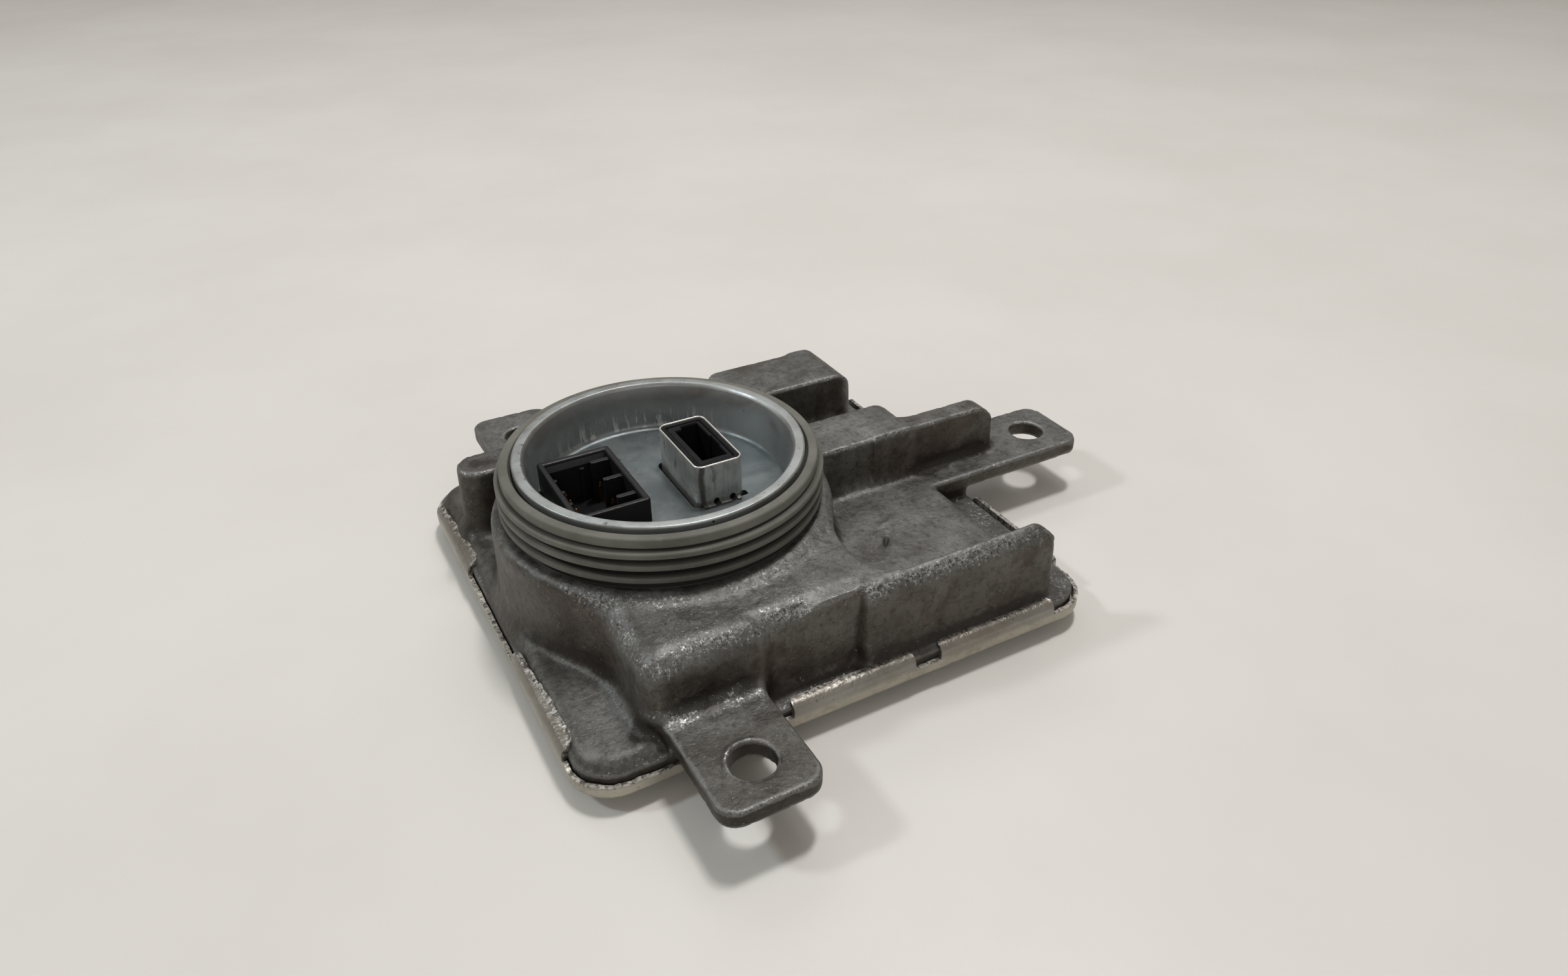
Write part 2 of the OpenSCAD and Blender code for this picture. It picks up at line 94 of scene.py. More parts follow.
# Plan rectangles are (left, right, front, rear), measured from the collar's axis
RIGHT = 58.0
FLANGE = (-33.4, 65.2, -45.2, 48.7)
NOSE = (-21.5, 0.4, -42.2, 0)
FRONT_DECK = (-15, 21.5, -40.6, 0)
RIDGE = (17.6, RIGHT, -42.6, -39.7)
PLATEAU = (10, 55.6, -1.2, 11.6)
RIGHT_BLOCK = (28, RIGHT, 26.8, 42.0)
RIGHT_STEP = (48.5, RIGHT, 28, 42.8)
LEFT_BLOCK = (-30.8, 34, 25.2, 33.2)
MAIN_TIER = (-17, 56.9, -37, 44.5)
REAR_TIER = (-21.6, 30, 24, 44.5)
RIB = (46, 76.0, -1.2, 3.7)

# Ears: the centres and the radius of their holes, and their plates, which start inside the tier
EARS = [(-11.0, -56.6), (-11.4, 54.6), (87.5, 0.7)]
HOLE = 3.7
HALF = 8.7
FRONT_END, REAR_END = round(float(HOUSING_LOW[1]), 3), round(float(HOUSING_HIGH[1]), 3)
RIGHT_END = round(float(HOUSING_HIGH[0]), 3)
PLATES = (
    (EARS[0][0] - HALF, EARS[0][0] + HALF, FRONT_END, -30),
    (EARS[1][0] - HALF, EARS[1][0] + HALF, 30, REAR_END),
    (40, RIGHT_END, EARS[2][1] - HALF, EARS[2][1] + HALF),
)

# Rooms under the platform, the tier and the deck: rectangle, ceiling and corner radius
ROOMS = (
    ((-28.8, 0, -38.2, 42.1), PLATFORM - 2, 3),
    ((-19.2, 54.5, -38.2, 42.1), TIER - WALL, 3),
    ((-19.2, 19.1, -38.2, 0), DECK - WALL, 2),
    ((0, 52.8, 1.2, 9.2), DECK - WALL, 2),
    ((30.4, 53.2, 29.2, 39.6), DECK - WALL, 2),
)

# A struck mark on the front pocket's floor: a gouge, and the metal that it raised
GOUGE = ((38.6, -17.6), (35.0, -21.8))
FLAKE = ((38.6, -15.0), (42.2, -13.9))


# ---------------- meshes
def add_object(name, data):
    obj = bpy.data.objects.new(name, data)
    bpy.context.scene.collection.objects.link(obj)
    return obj


def mesh_object(name, verts, faces, smooth=None):
    """A mesh from points in millimetres. smooth is the angle in degrees over which edges stay sharp."""
    mesh = bpy.data.meshes.new(name)
    mesh.from_pydata((np.asarray(verts, float) * MM).tolist(), [], faces)
    mesh.validate()
    mesh.update()
    obj = add_object(name, mesh)
    if smooth is not None:
        shade(obj, smooth)
    return obj


def shade(obj, angle):
    """Smooth shading, but sharp at edges that turn by more than the angle."""
    mesh = obj.data
    mesh.polygons.foreach_set("use_smooth", [True] * len(mesh.polygons))
    bm = bmesh.new()
    bm.from_mesh(mesh)
    bmesh.ops.recalc_face_normals(bm, faces=bm.faces)
    limit = math.radians(angle)
    for e in bm.edges:
        if len(e.link_faces) == 2 and e.calc_face_angle(0) > limit:
            e.smooth = False
    bm.to_mesh(mesh)
    bm.free()
    mesh.update()


def baked(obj):
    """Applies the object's modifiers."""
    dg = bpy.context.evaluated_depsgraph_get()
    mesh = bpy.data.meshes.new_from_object(obj.evaluated_get(dg))
    obj.modifiers.clear()
    obj.data = mesh
    return obj


def set_attribute(obj, name, values):
    """One number for each vertex, which the materials read."""
    layer = obj.data.attributes.new(name, "FLOAT", "POINT")
    layer.data.foreach_set("value", values.astype(np.float32))


def ramp(a, b, v):
    """Rises smoothly from 0 at a to 1 at b."""
    t = np.clip((v - a) / (b - a), 0, 1)
    return t * t * (3 - 2 * t)


CORNERS = [(i, j, k) for i in (0, 1) for j in (0, 1) for k in (0, 1)]


def blend_corners(f, value):
    """Blends the values at the eight corners of each point's cell. f is the point's place in the cell."""
    total = np.zeros(len(f))
    for corner in CORNERS:
        wx, wy, wz = (f[:, a] if corner[a] else 1 - f[:, a] for a in range(3))
        total += wx * wy * wz * value(corner)
    return total


def lattice(points, size, seed, octaves=1):
    """Smooth noise from -1 to 1 at points in mm, with features of about that size."""
    rng = np.random.default_rng(seed)
    total = np.zeros(len(points))
    weight = 1.0
    norm = 0.0
    for _ in range(octaves):
        table = rng.uniform(-1, 1, (32, 32, 32))
        p = np.asarray(points) / size + rng.uniform(0, 32, 3)
        i = np.floor(p).astype(int)
        f = p - i
        total += blend_corners(f * f * (3 - 2 * f), lambda c: table[tuple(((i + c) % 32).T)]) * weight
        norm += weight
        weight *= 0.5
        size *= 0.5
    return total / norm


# ---------------- distance field for the casting
def rect2(x, y, rect, r):
    """Distance to a plan rectangle with round corners."""
    x0, x1, y0, y1 = rect
    qx = np.abs(x - (x0 + x1) / 2) - ((x1 - x0) / 2 - r)
    qy = np.abs(y - (y0 + y1) / 2) - ((y1 - y0) / 2 - r)
    return np.hypot(np.maximum(qx, 0), np.maximum(qy, 0)) + np.minimum(np.maximum(qx, qy), 0) - r


def round_and(a, b, r):
    """What is inside both a and b, with a round of radius r where they meet."""
    return np.minimum(np.maximum(a, b), -r) + np.hypot(np.maximum(a + r, 0), np.maximum(b + r, 0))


def soft_min(a, b, k):
    """What is inside a or b, with a soft joint about k wide."""
    if k <= 0:
        return np.minimum(a, b)
    h = np.maximum(k - np.abs(a - b), 0) / k
    return np.minimum(a, b) - h * h * k / 4


class Shape:
    """A distance function, and the box outside which it needn't be worked out."""

    def __init__(self, low, high, at):
        self.low, self.high, self.at = low, high, at


def prism(rect, plan, z0, z1, edge, draft=0.0, bottom=0.0):
    """A plan outline between two heights, its top edge rounded and its sides drawn out downwards."""

    def at(x, y, z):
        d = plan(x, y) - (z1 - z) * draft
        d = round_and(d, z - z1, edge)
        return round_and(d, z0 - z, bottom) if bottom else np.maximum(d, z0 - z)

    return Shape((rect[0], rect[2], z0), (rect[1], rect[3], z1), at)


def block(rect, z0, z1, r, edge, draft=0.0, bottom=0.0):
    return prism(rect, lambda x, y: rect2(x, y, rect, r), z0, z1, edge, draft, bottom)


def drum(cx, cy, radius, z0, z1, edge, draft=0.0):
    rect = (cx - radius, cx + radius, cy - radius, cy + radius)
    return prism(rect, lambda x, y: np.hypot(x - cx, y - cy) - radius, z0, z1, edge, draft)


class Field:
    """A distance field in mm on a regular grid, negative inside."""

    MARGIN = 7.0
    FAR = 50.0

    def __init__(self, low, high, step):
        self.low, self.step = np.array(low, float), step
        self.n = [int(math.ceil((h - l) / step)) + 1 for l, h in zip(low, high)]
        self.axes = [(low[i] + step * np.arange(self.n[i])).astype(np.float32) for i in range(3)]
        self.d = np.full(self.n, self.FAR, np.float32)

    def window(self, shape):
        """The part of the grid that a shape can change."""
        out = []
        for i in range(3):
            a = max(0, int((shape.low[i] - self.MARGIN - self.low[i]) / self.step))
            b = min(self.n[i], int((shape.high[i] + self.MARGIN - self.low[i]) / self.step) + 2)
            out.append(slice(a, max(a + 1, b)))
        return tuple(out)

    def values(self, shape, w):
        x, y, z = (self.axes[i][w[i]] for i in range(3))
        d = shape.at(x[:, None, None], y[None, :, None], z[None, None, :])
        return np.broadcast_to(d, self.d[w].shape)

    def add(self, shape, k=0.0):
        w = self.window(shape)
        self.d[w] = soft_min(self.d[w], self.values(shape, w), k)

    def cut(self, shape, k):
        w = self.window(shape)
        self.d[w] = -soft_min(-self.d[w], self.values(shape, w), k)

    def sample(self, p):
        g = (p - self.low) / self.step
        i = np.clip(np.floor(g).astype(int), 0, np.array(self.n) - 2)
        return blend_corners(np.clip(g - i, 0, 1), lambda c: self.d[tuple((i + c).T)])

    def gradient(self, p, h):
        return np.stack([(self.sample(p + e) - self.sample(p - e)) / (2 * h) for e in np.eye(3) * h], 1)

    def curvature(self, p, h):
        """How sharply the surface turns within h of each point: over 0 on edges, under 0 in corners."""
        v = -6 * self.sample(p)
        for e in np.eye(3) * h:
            v += self.sample(p + e) + self.sample(p - e)
        return v / (h * h)

    def surface(self):
        """Points and quads of the zero level, by surface nets."""
        d = self.d
        s = d < 0
        nx, ny, nz = d.shape
        count = np.zeros((nx - 1, ny - 1, nz - 1), np.uint8)
        for i, j, k in CORNERS:
            count += s[i : nx - 1 + i, j : ny - 1 + j, k : nz - 1 + k]
        cells = np.argwhere((count > 0) & (count < 8))
        ids = np.full(count.shape, -1, np.int32)
        ids[tuple(cells.T)] = np.arange(len(cells))
        v = [d[tuple((cells + c).T)] for c in CORNERS]
        # A cell's point is the mean of the places where its edges cross the surface
        total = np.zeros((len(cells), 3))
        hits = np.zeros(len(cells))
        for a in range(8):
            for b in range(a + 1, 8):
                way = np.array(CORNERS[b]) - np.array(CORNERS[a])
                if np.abs(way).sum() != 1:
                    continue
                m = (v[a] < 0) != (v[b] < 0)
                t = v[a][m] / (v[a][m] - v[b][m])
                total[m] += np.array(CORNERS[a]) + t[:, None] * way
                hits[m] += 1
        points = self.low + self.step * (cells + total / hits[:, None])
        # Each grid edge that crosses the surface gives a quad between the four cells around it
        quads = []
        for axis in range(3):
            lo, hi = [slice(1, -1)] * 3, [slice(1, -1)] * 3
            lo[axis], hi[axis] = slice(0, -1), slice(1, None)
            a, b = s[tuple(lo)], s[tuple(hi)]
            u, w = [(1, 2), (2, 0), (0, 1)][axis]
            for first, second, order in ((a, b, 1), (b, a, -1)):
                at = np.argwhere(first & ~second)
                at = at + np.array([0 if i == axis else 1 for i in range(3)])
                ring = []
                for du, dw in ((-1, -1), (0, -1), (0, 0), (-1, 0)):
                    c = at.copy()
                    c[:, u] += du
                    c[:, w] += dw
                    ring.append(ids[tuple(c.T)])
                quads.append(np.stack(ring[::order], 1))
        return points, np.concatenate(quads)


def deck_plan(x, y):
    """Outline of everything that rises to the deck, with soft inside corners."""
    d = rect2(x, y, NOSE, 3.4)
    d = soft_min(d, rect2(x, y, FRONT_DECK, 1.2), 1.6)
    d = soft_min(d, rect2(x, y, RIDGE, 1.35), 1.5)
    # Soft corner where the ridge leaves the deck, on the pocket's side only
    deck_side = rect2(x, y, (-15, 21.5, -40.0, 0), 1.2)
    corner = soft_min(deck_side, rect2(x, y, (10, 54, -42.0, -39.7), 1.0), 8.0)
    d = np.minimum(d, np.where(y > FRONT_DECK[2], corner, 9.0))
    d = soft_min(d, np.hypot(x, y) - (DRUM - 0.1), 7.0)
    for rect, r, k in (
        (PLATEAU, 2.0, 4.5),
        (RIGHT_BLOCK, 3.2, 2.5),
        (RIGHT_STEP, 2.0, 1.0),
        (LEFT_BLOCK, 3.9, 5.0),
    ):
        d = soft_min(d, rect2(x, y, rect, r), k)
    return d


def deck_edge(x, y):
    """How round the deck's top edge is: full at the front left, crisp at the pockets."""
    left = ramp(6, -12, x) * ramp(-17, -27, y)
    front = ramp(-34, -38, y) * ramp(20, 16.5, x)
    return 0.75 + 2.9 * np.maximum(front, left) + 0.9 * left


def high_parts():
    """Deck, ridge and blocks; the ridge is round along its front, and the right ends are round."""
    z0 = FLANGE0 + 0.5

    def at(x, y, z):
        drop = DECK - z
        d = round_and(deck_plan(x, y) - drop * 0.035, -drop, deck_edge(x, y))
        front = round_and(RIDGE[2] - y - drop * 0.035, -drop, 3.1) - 5 * ramp(18.5, 16.5, x)
        right = round_and(x - RIGHT - drop * 0.03, -drop, 5.2)
        return np.maximum(np.maximum(d, z0 - z), np.maximum(front, right))

    return Shape((-32, -43.5, z0), (RIGHT + 1, 43.5, DECK), at)


def rib():
    """The thin wall on the right ear, with a large round at the top of its end."""
    x0, x1, y0, y1 = RIB

    def at(x, y, z):
        drop = DECK - z
        side = np.maximum(np.abs(y - (y0 + y1) / 2) - (y1 - y0) / 2 - drop * 0.02, x0 - x)
        past = x - x1 - drop * 0.03
        d = round_and(round_and(side, past, 1.3), -drop, 0.55)
        return np.maximum(np.maximum(d, round_and(past, -drop, 5.0)), EAR0 + 0.6 - z)

    return Shape((x0, y0, EAR0), (x1, y1, DECK), at)


def tier_plan(x, y):
    """Outline of the tier. It stops short of the deck's own walls in front and on the left."""
    return soft_min(rect2(x, y, MAIN_TIER, 3), rect2(x, y, REAR_TIER, 3), 1.0)


def ear_plan(x, y):
    """Outline of the three ears, joined to the tier whose top they share."""
    d = rect2(x, y, (-16, 55.5, -36, 43.1), 1.6)
    for plate in PLATES:
        d = soft_min(d, rect2(x, y, plate, 3.5), 0.8)
    return d


def casting_field(step):
    x0, x1, y0, y1 = FLANGE
    low, high = (x0 - 2, FRONT_END - 2, FLANGE0 - 1.2), (RIGHT_END + 2, REAR_END + 2, SHOULDER + 1.2)
    f = Field(low, high, step)
    z0 = FLANGE0 + 0.5
    f.add(block(FLANGE, FLANGE0, FLANGE1, 7, 0.5, 0, 0.3))
    # Low platform, sloping down to the flange at its edge
    f.add(block((x0 + 0.6, 0, y0 + 0.6, y1 - 0.6), z0, PLATFORM, 6.4, 2.4), 0.6)
    f.add(prism((-22, 57, -37, 45), tier_plan, z0, TIER, 2.0, 0.10), 2.8)
    f.add(prism((-22, 96, -65, 66), ear_plan, EAR0, TIER, 0.55, 0, 0.4))
    f.add(drum(0, 0, DRUM, z0, SHOULDER, 0.9, 0.02), 4.0)
    f.add(high_parts(), 3.2)
    # Under each ear, the casting goes down to the flange
    for left, right, front, rear in PLATES:
        root = (left, min(right, x1), max(front, y0), min(rear, y1))
        f.add(block(root, FLANGE0 + 0.3, TIER - 0.3, 0.4, 0.3), 0.5)
    f.add(rib(), 2.0)
    return f


def hollow(f):
    """The rooms for the electronics, the holes and the openings."""
    z0 = FLANGE0 - 3
    for rect, ceiling, r in ROOMS:
        f.cut(block(rect, z0, ceiling, r, 0.6), 0.4)
    f.cut(drum(0, 0, DRUM - WALL, z0, SHOULDER - WALL, 0.6), 0.4)
    f.cut(drum(0, 0, COLLAR - 1.4, z0, SHOULDER + 5, 0.1), 0)
    for cx, cy in EARS:
        f.cut(drum(cx, cy, HOLE, z0, TIER + 3, 0.1), 0.35)


def settled(f, points, step):
    """Moves the points onto the field's surface."""
    for _ in range(2):
        g = f.gradient(points, step * 0.6)
        size = np.maximum((g * g).sum(1), 0.3)
        points = points - np.clip(f.sample(points) / size, -0.3, 0.3)[:, None] * g
    return points


def scuff_and_sheen_map(points, normal, near):
    """Where the casting is rubbed, and where a sheen is painted: on edges that face up and forward, and most
    of all at the front.
    """
    x, y, z = points.T
    upward = np.clip(normal[:, 2] * 1.5, 0, 1)
    forward = np.clip(-normal[:, 1] * 1.5, 0, 1) * upward
    leftward = np.clip(-normal[:, 0] * 1.5, 0, 1) * upward * (0.6 + 0.4 * ramp(-20, -30, y))
    high = ramp(TIER + 6, TIER + 8.5, z)
    ear = ramp(TIER - 0.9, TIER - 0.3, z) * ramp(0.1, 0.5, near)
    scuff_and_sheen = np.maximum(np.maximum(forward, 0.7 * leftward) * high, 0.75 * forward * ear)
    # Painted sheen: the deck's front nose is lightened as well as its rubbed edges
    nose_sheen = ramp(-22, -36, y) * ramp(24, 12, x) * ramp(0.2, 0.8, normal[:, 2]) * high
    scuff_and_sheen = np.maximum(0.85 * scuff_and_sheen, 0.32 * nose_sheen)
    # The front ear's root, and the flange's top
    root = ramp(TIER + 2.6, TIER + 0.6, z) * ramp(TIER - 0.4, TIER + 0.1, z)
    root *= ramp(-38, -41, y) * ramp(-46.5, -45, y) * ramp(2, -3, x)
    flange = ramp(FLANGE1 + 0.5, FLANGE1 + 0.1, z) * ramp(0.4, 0.8, normal[:, 2])
    return np.maximum(scuff_and_sheen, np.maximum(0.7 * root, 0.5 * flange))


def burr_map(points, normal):
    """The raised edge at the rear left of the front ear's hole."""
    dx, dy = (points[:, :2] - EARS[0]).T
    ring = np.exp(-(((np.hypot(dx, dy) - HOLE - 0.35) / 0.4) ** 2))
    return ring * ramp(0, 4, dy - 0.7 * dx) * ramp(0.6, 0.95, normal[:, 2])


def stroke(points, ends, width):
    """1 along a short line on the casting, fading to 0 beside it."""
    a, b = (np.array(end) for end in ends)
    way = b - a
    t = np.clip(((points[:, :2] - a) @ way) / (way @ way), 0, 1)
    off = points[:, :2] - a - t[:, None] * way
    return np.exp(-(off * off).sum(1) / width**2) * np.sin(math.pi * (0.12 + 0.76 * t))


def make_casting():
    step = 0.36
    f = casting_field(step)
    hollow(f)
    points, quads = f.surface()
    points = settled(f, points, step)
    normal = f.gradient(points, step)
    normal /= np.maximum(np.linalg.norm(normal, axis=1), 1e-6)[:, None]
    near = f.curvature(points, 0.9)
    wide = f.curvature(points, 2.4)
    scuff_and_sheen = scuff_and_sheen_map(points, normal, near)
    burr = burr_map(points, normal)
    # Slight waviness of the cast skin, and dents along the outer edges
    wave = lattice(points, 9, 3, 2) * 0.05
    dents = np.clip(lattice(points, 1.3, 4, 2) - 0.15, 0, 1) * np.clip(near - 0.35, 0, 1) * 0.3
    dents += np.clip(lattice(points, 0.8, 5, 2), 0, 1) * scuff_and_sheen * 0.22
    skin = lattice(points, 1.1, 6, 2) * 0.035
    lump = burr * (0.30 + 0.25 * lattice(points, 0.9, 7))
    struck = ramp(0.6, 0.9, normal[:, 2]) * (0.9 + 0.4 * lattice(points, 0.9, 8))
    gouge = stroke(points, GOUGE, 0.65) * struck
    flake = stroke(points, FLAKE, 0.55) * struck
    lump += 0.30 * flake - 0.42 * gouge
    outside = points[:, 2] > FLANGE0 + 0.2
    points = points + normal * ((wave + skin + lump - dents) * outside)[:, None]
    points = np.clip(points, HOUSING_LOW + 0.001, HOUSING_HIGH - 0.001)
    obj = mesh_object("housing_casting", points, quads.tolist())
    obj.data.shade_smooth()
    set_attribute(obj, "edge", near)
    # hollow marks concave places, which the paint darkens as painted shade, and the gouge, a real mark
    set_attribute(obj, "hollow", wide - 0.9 * gouge)
    set_attribute(obj, "scuff_and_sheen", scuff_and_sheen + burr + 1.4 * flake)
    set_attribute(obj, "up", normal[:, 2])
    return obj


# ---------------- turned, swept and moulded pieces
def lathe(name, profile, segments, smooth):
    """A solid of revolution about Z from a closed profile of (radius, height)."""
    verts, rows = [], []
    for r, z in profile:
        if r < 1e-6:
            rows.append([len(verts)] * segments)
            verts.append((0.0, 0.0, z))
            continue
        rows.append(list(range(len(verts), len(verts) + segments)))
        for i in range(segments):
            a = 2 * math.pi * i / segments
            verts.append((r * math.cos(a), r * math.sin(a), z))
    faces = []
    for a, b in zip(rows, rows[1:] + rows[:1]):
        for i in range(segments):
            j = (i + 1) % segments
            face = [a[i], a[j], b[j], b[i]]
            face = [v for n, v in enumerate(face) if v not in face[:n]]
            if len(face) > 2:
                faces.append(face)
    return mesh_object(name, verts, faces, smooth)


def arc(cx, cz, r, a0, a1, n):
    """Points on an arc, angles in degrees."""
    angles = [math.radians(a0 + (a1 - a0) * i / n) for i in range(n + 1)]
    return [(cx + r * math.cos(a), cz + r * math.sin(a)) for a in angles]


def rounded(x0, x1, y0, y1, r, n=8):
    """Counter-clockwise outline of a rectangle with round corners."""
    r = max(r, 1e-3)
    return (
        arc(x1 - r, y0 + r, r, -90, 0, n)
        + arc(x1 - r, y1 - r, r, 0, 90, n)
        + arc(x0 + r, y1 - r, r, 90, 180, n)
        + arc(x0 + r, y0 + r, r, 180, 270, n)
    )


def loft(name, loops, smooth=30, closed=False):
    """Skins a row of loops that have the same number of points, and caps its ends unless it is closed."""
    verts = [p for loop in loops for p in loop]
    n = len(loops[0])
    last = len(loops) - 1
    faces = []
    for a, b in [(k, k + 1) for k in range(last)] + [(last, 0)] * closed:
        for i in range(n):
            j = (i + 1) % n
            faces.append([a * n + i, a * n + j, b * n + j, b * n + i])
    if not closed:
        faces += [list(range(n))[::-1], [last * n + i for i in range(n)]]
    return mesh_object(name, verts, faces, smooth)


def upright(outline, heights):
    """The same outline at several heights."""
    return [[(x, y, z) for x, y in outline] for z in heights]


def tube_loops(rect, r, profile, n=8):
    """Loops of a rounded rectangle. Each profile point gives how far in and how high a loop is."""
    x0, x1, y0, y1 = rect
    return [
        [(x, y, z) for x, y in rounded(x0 + i, x1 - i, y0 + i, y1 - i, max(r - i, 0.05), n)]
        for i, z in profile
    ]


def bar(rect, z0, z1, r=0.05):
    return loft("bar", upright(rounded(*rect, r, 3), (z0, z1)))


def join(name, objs):
    bm = bmesh.new()
    mesh = bpy.data.meshes.new(name)
    for o in objs:
        bm.from_mesh(o.data)
        bpy.data.objects.remove(o)
    bm.to_mesh(mesh)
    bm.free()
    return add_object(name, mesh)


def soft_edges(obj, width, segments=2, angle=40):
    """Bevels the edges that turn by more than the angle."""
    m = obj.modifiers.new("edges", "BEVEL")
    m.width = width * MM
    m.segments = segments
    m.limit_method = "ANGLE"
    m.angle_limit = math.radians(angle)
    return baked(obj)


def carve(obj, cutters):
    for c in cutters:
        m = obj.modifiers.new("cut", "BOOLEAN")
        m.operation = "DIFFERENCE"
        m.solver = "EXACT"
        m.object = c
    bpy.context.view_layer.update()
    baked(obj)
    for c in cutters:
        bpy.data.objects.remove(c)
    return obj


# The harness socket's walls, inside the edge of its foot
FOOT = 1.5
SOCKET = (SOCKET_LOW[0] + FOOT, SOCKET_HIGH[0] - FOOT, SOCKET_LOW[1] + FOOT, SOCKET_HIGH[1] - FOOT)
# The output socket's shell, behind its foot, and the thickness of its sheet
SHELL = (SHELL_LOW[0], SHELL_HIGH[0], SHELL_LOW[1] + 1.0, SHELL_HIGH[1])
SHELL_TOP = SHELL_HIGH[2]
SHEET = 0.35


def make_collar():
    """Collar with its bore, rim and floor. A step below it sits in the casting's opening."""
    under, step = 22.0, 24.9
    drop = FLOOR + 1.3 - RIM + 0.75
    taper = [(BORE + (BORE_FLOOR - BORE) * t, RIM - 0.75 + drop * t) for t in (0.33, 0.66)]
    profile = (
        [(0, under), (step, under), (step, under + 0.5), (COLLAR, under + 0.5), (COLLAR, RIM - 0.5)]
        + arc(COLLAR - 0.35, RIM - 0.35, 0.35, 0, 90, 4)
        + [(24.75, RIM)]
        + arc(24.6, RIM - 0.25, 0.25, 90, 130, 3)
        + [(BORE + 0.1, RIM - 0.5), (BORE - 0.02, RIM - 0.75)]
        + taper
        + arc(BORE_FLOOR - 1.25, FLOOR + 1.3, 1.3, 0, -90, 8)
        + [(16, FLOOR), (8, FLOOR), (0, FLOOR)]
    )
    collar = lathe("housing_collar", profile, 360, 40)
    # Openings in the floor: the harness socket's, the output socket's and a slot at its front right corner
    x0, x1, y0, y1 = SOCKET
    left, right, _, rear = SHELL
    gap = 0.12
    openings = (
        ((x0 - gap, x1 + gap, y0 - gap, y1 + gap), 0.4),
        ((left - 0.62, right + gap, -9.3, rear + 0.25), 1.4),
        ((right - 2.2, right + 0.75, -9.25, -7.6), 0.5),
    )
    carve(collar, [bar(rect, under - 2, FLOOR + 3.7, r) for rect, r in openings])
    shade(collar, 40)
    return collar


def make_seal():
    """Rubber ring with a lip on top and three ribs."""
    top = SEAL_HIGH[2]
    p = [(COLLAR + 0.02, SHOULDER), (COLLAR + 0.02, top - 1.2), (26.75, top - 0.55)]
    p += arc(27.05, top - 0.3, 0.3, 180, 90, 4) + arc(28.1, top - 0.4, 0.4, 90, 0, 5)
    p += [(28.5, top - 1.4)] + arc(28.25, top - 1.6, 0.25, 0, -60, 3)
    p += [(27.75, top - 1.9), (27.6, top - 2.05)]
    for crest, z in ((29.55, top - 2.27), (29.55, top - 4.53), (29.5, top - 7.02)):
        p += [(27.6, z + 0.24), (28.5, z + 0.2), (crest - 0.42, z + 0.05)]
        p += arc(crest - 0.34, z - 0.3, 0.34, 80, 5, 5) + [(crest, z - 0.75)]
        p += arc(crest - 0.25, z - 0.8, 0.25, 0, -60, 3) + [(28.5, z - 1.32), (27.6, z - 1.62)]
    p += [(28.3, SHOULDER + 0.75)] + arc(28.4, SHOULDER + 0.45, 0.3, 90, 0, 3) + [(28.7, SHOULDER)]
    seal = lathe("collar_seal_ring", p, 384, 50)
    # The free outer part is a little wavy
    co = np.array([v.co for v in seal.data.vertices]) / MM
    r = np.hypot(co[:, 0], co[:, 1])
    free = np.clip((r - 26.9) / 1.5, 0, 1)
    co[:, 2] += lattice(co, 14, 11, 2) * 0.07 * free
    co[:, :2] *= (1 + (lattice(co, 11, 12, 2) * 0.05 * free / r))[:, None]
    co[:, 2] = np.clip(co[:, 2], SHOULDER, top - 0.002)
    seal.data.vertices.foreach_set("co", (co * MM).astype(np.float32).ravel())
    seal.data.update()
    # Painted shade in the grooves, and more of it lower down
    groove_shade = ramp(29.35, 28.3, r) * ramp(top - 1.6, top - 1.9, co[:, 2])
    low = ramp(top - 3.5, SHOULDER + 1, co[:, 2])
    set_attribute(seal, "seal_shade", np.clip(0.85 * groove_shade + 0.3 * low, 0, 0.95))
    return seal


def make_harness():
    """Open black box with coding ribs inside, on its foot."""
    x0, x1, _, y1 = SOCKET
    top = SOCKET_HIGH[2]
    wall, cavity = 1.2, 21.2
    ix0, ix1, iy1 = x0 + wall, x1 - wall, y1 - wall
    profile = [(0, SOCKET_LOW[2]), (0, top - 0.25), (0.07, top - 0.08), (0.25, top), (wall - 0.35, top)]
    profile += [(wall - 0.1, top - 0.15), (wall, top - 0.5), (wall, cavity)]
    parts = [loft("box", tube_loops(SOCKET, 0.5, profile), 60)]
    # Deep bevel inside the rear wall's top: four corners in front, four in the wall
    front = [(ix0, cavity), (ix1, cavity), (ix1, top - 1.4), (ix0, top - 1.4)]
    front = [(x, iy1 - 0.9, z) for x, z in front]
    rear = [(x, iy1 + 0.5, z) for x, _, z in front[:2]] + [(x, iy1 + 0.45, top - 0.12) for x in (ix1, ix0)]
    sides = [(0, 1, 2, 3), (5, 4, 7, 6), (3, 2, 6, 7), (0, 3, 7, 4), (1, 5, 6, 2), (4, 5, 1, 0)]
    parts.append(mesh_object("ledge", front + rear, sides))
    for y in (-5.9, 0.6, 7.2):
        parts.append(bar((ix1 - 3.5, ix1 + 0.4, y - 0.5, y + 0.5), 21, top - 0.75, 0.35))
    for y in (-3.1, 1.1, 5.3):
        parts.append(bar((ix0 - 0.4, ix0 + 0.85, y - 0.42, y + 0.42), 21, top - 1.4, 0.3))
    parts.append(bar((-12.8, -11.9, iy1 - 1.5, iy1), 21, top - 1.9, 0.2))
    foot = (SOCKET_LOW[0], SOCKET_HIGH[0], SOCKET_LOW[1], SOCKET_HIGH[1])
    parts.append(bar(foot, SOCKET_LOW[2], SOCKET_LOW[2] + 1.6, 0.5))
    obj = soft_edges(join("harness_socket_body", parts), 0.13, 2, 35)
    shade(obj, 35)
    return obj


def make_pins():
    """Two rows of five square pins with pointed ends."""
    half, pitch = 0.4, 3.2
    parts = []
    for x in (-16.6, -9.7):
        for i in range(-2, 3):
            loops = [
                [(x + sx * s, i * pitch + sy * s, z) for sx, sy in ((-1, -1), (1, -1), (1, 1), (-1, 1))]
                for s, z in ((0.15, 3.25), (half, 3.9), (half, 24.6), (0.15, 25.38))
            ]
            parts.append(loft("pin", loops, None))
    return soft_edges(join("harness_pin_row", parts), 0.05, 1)


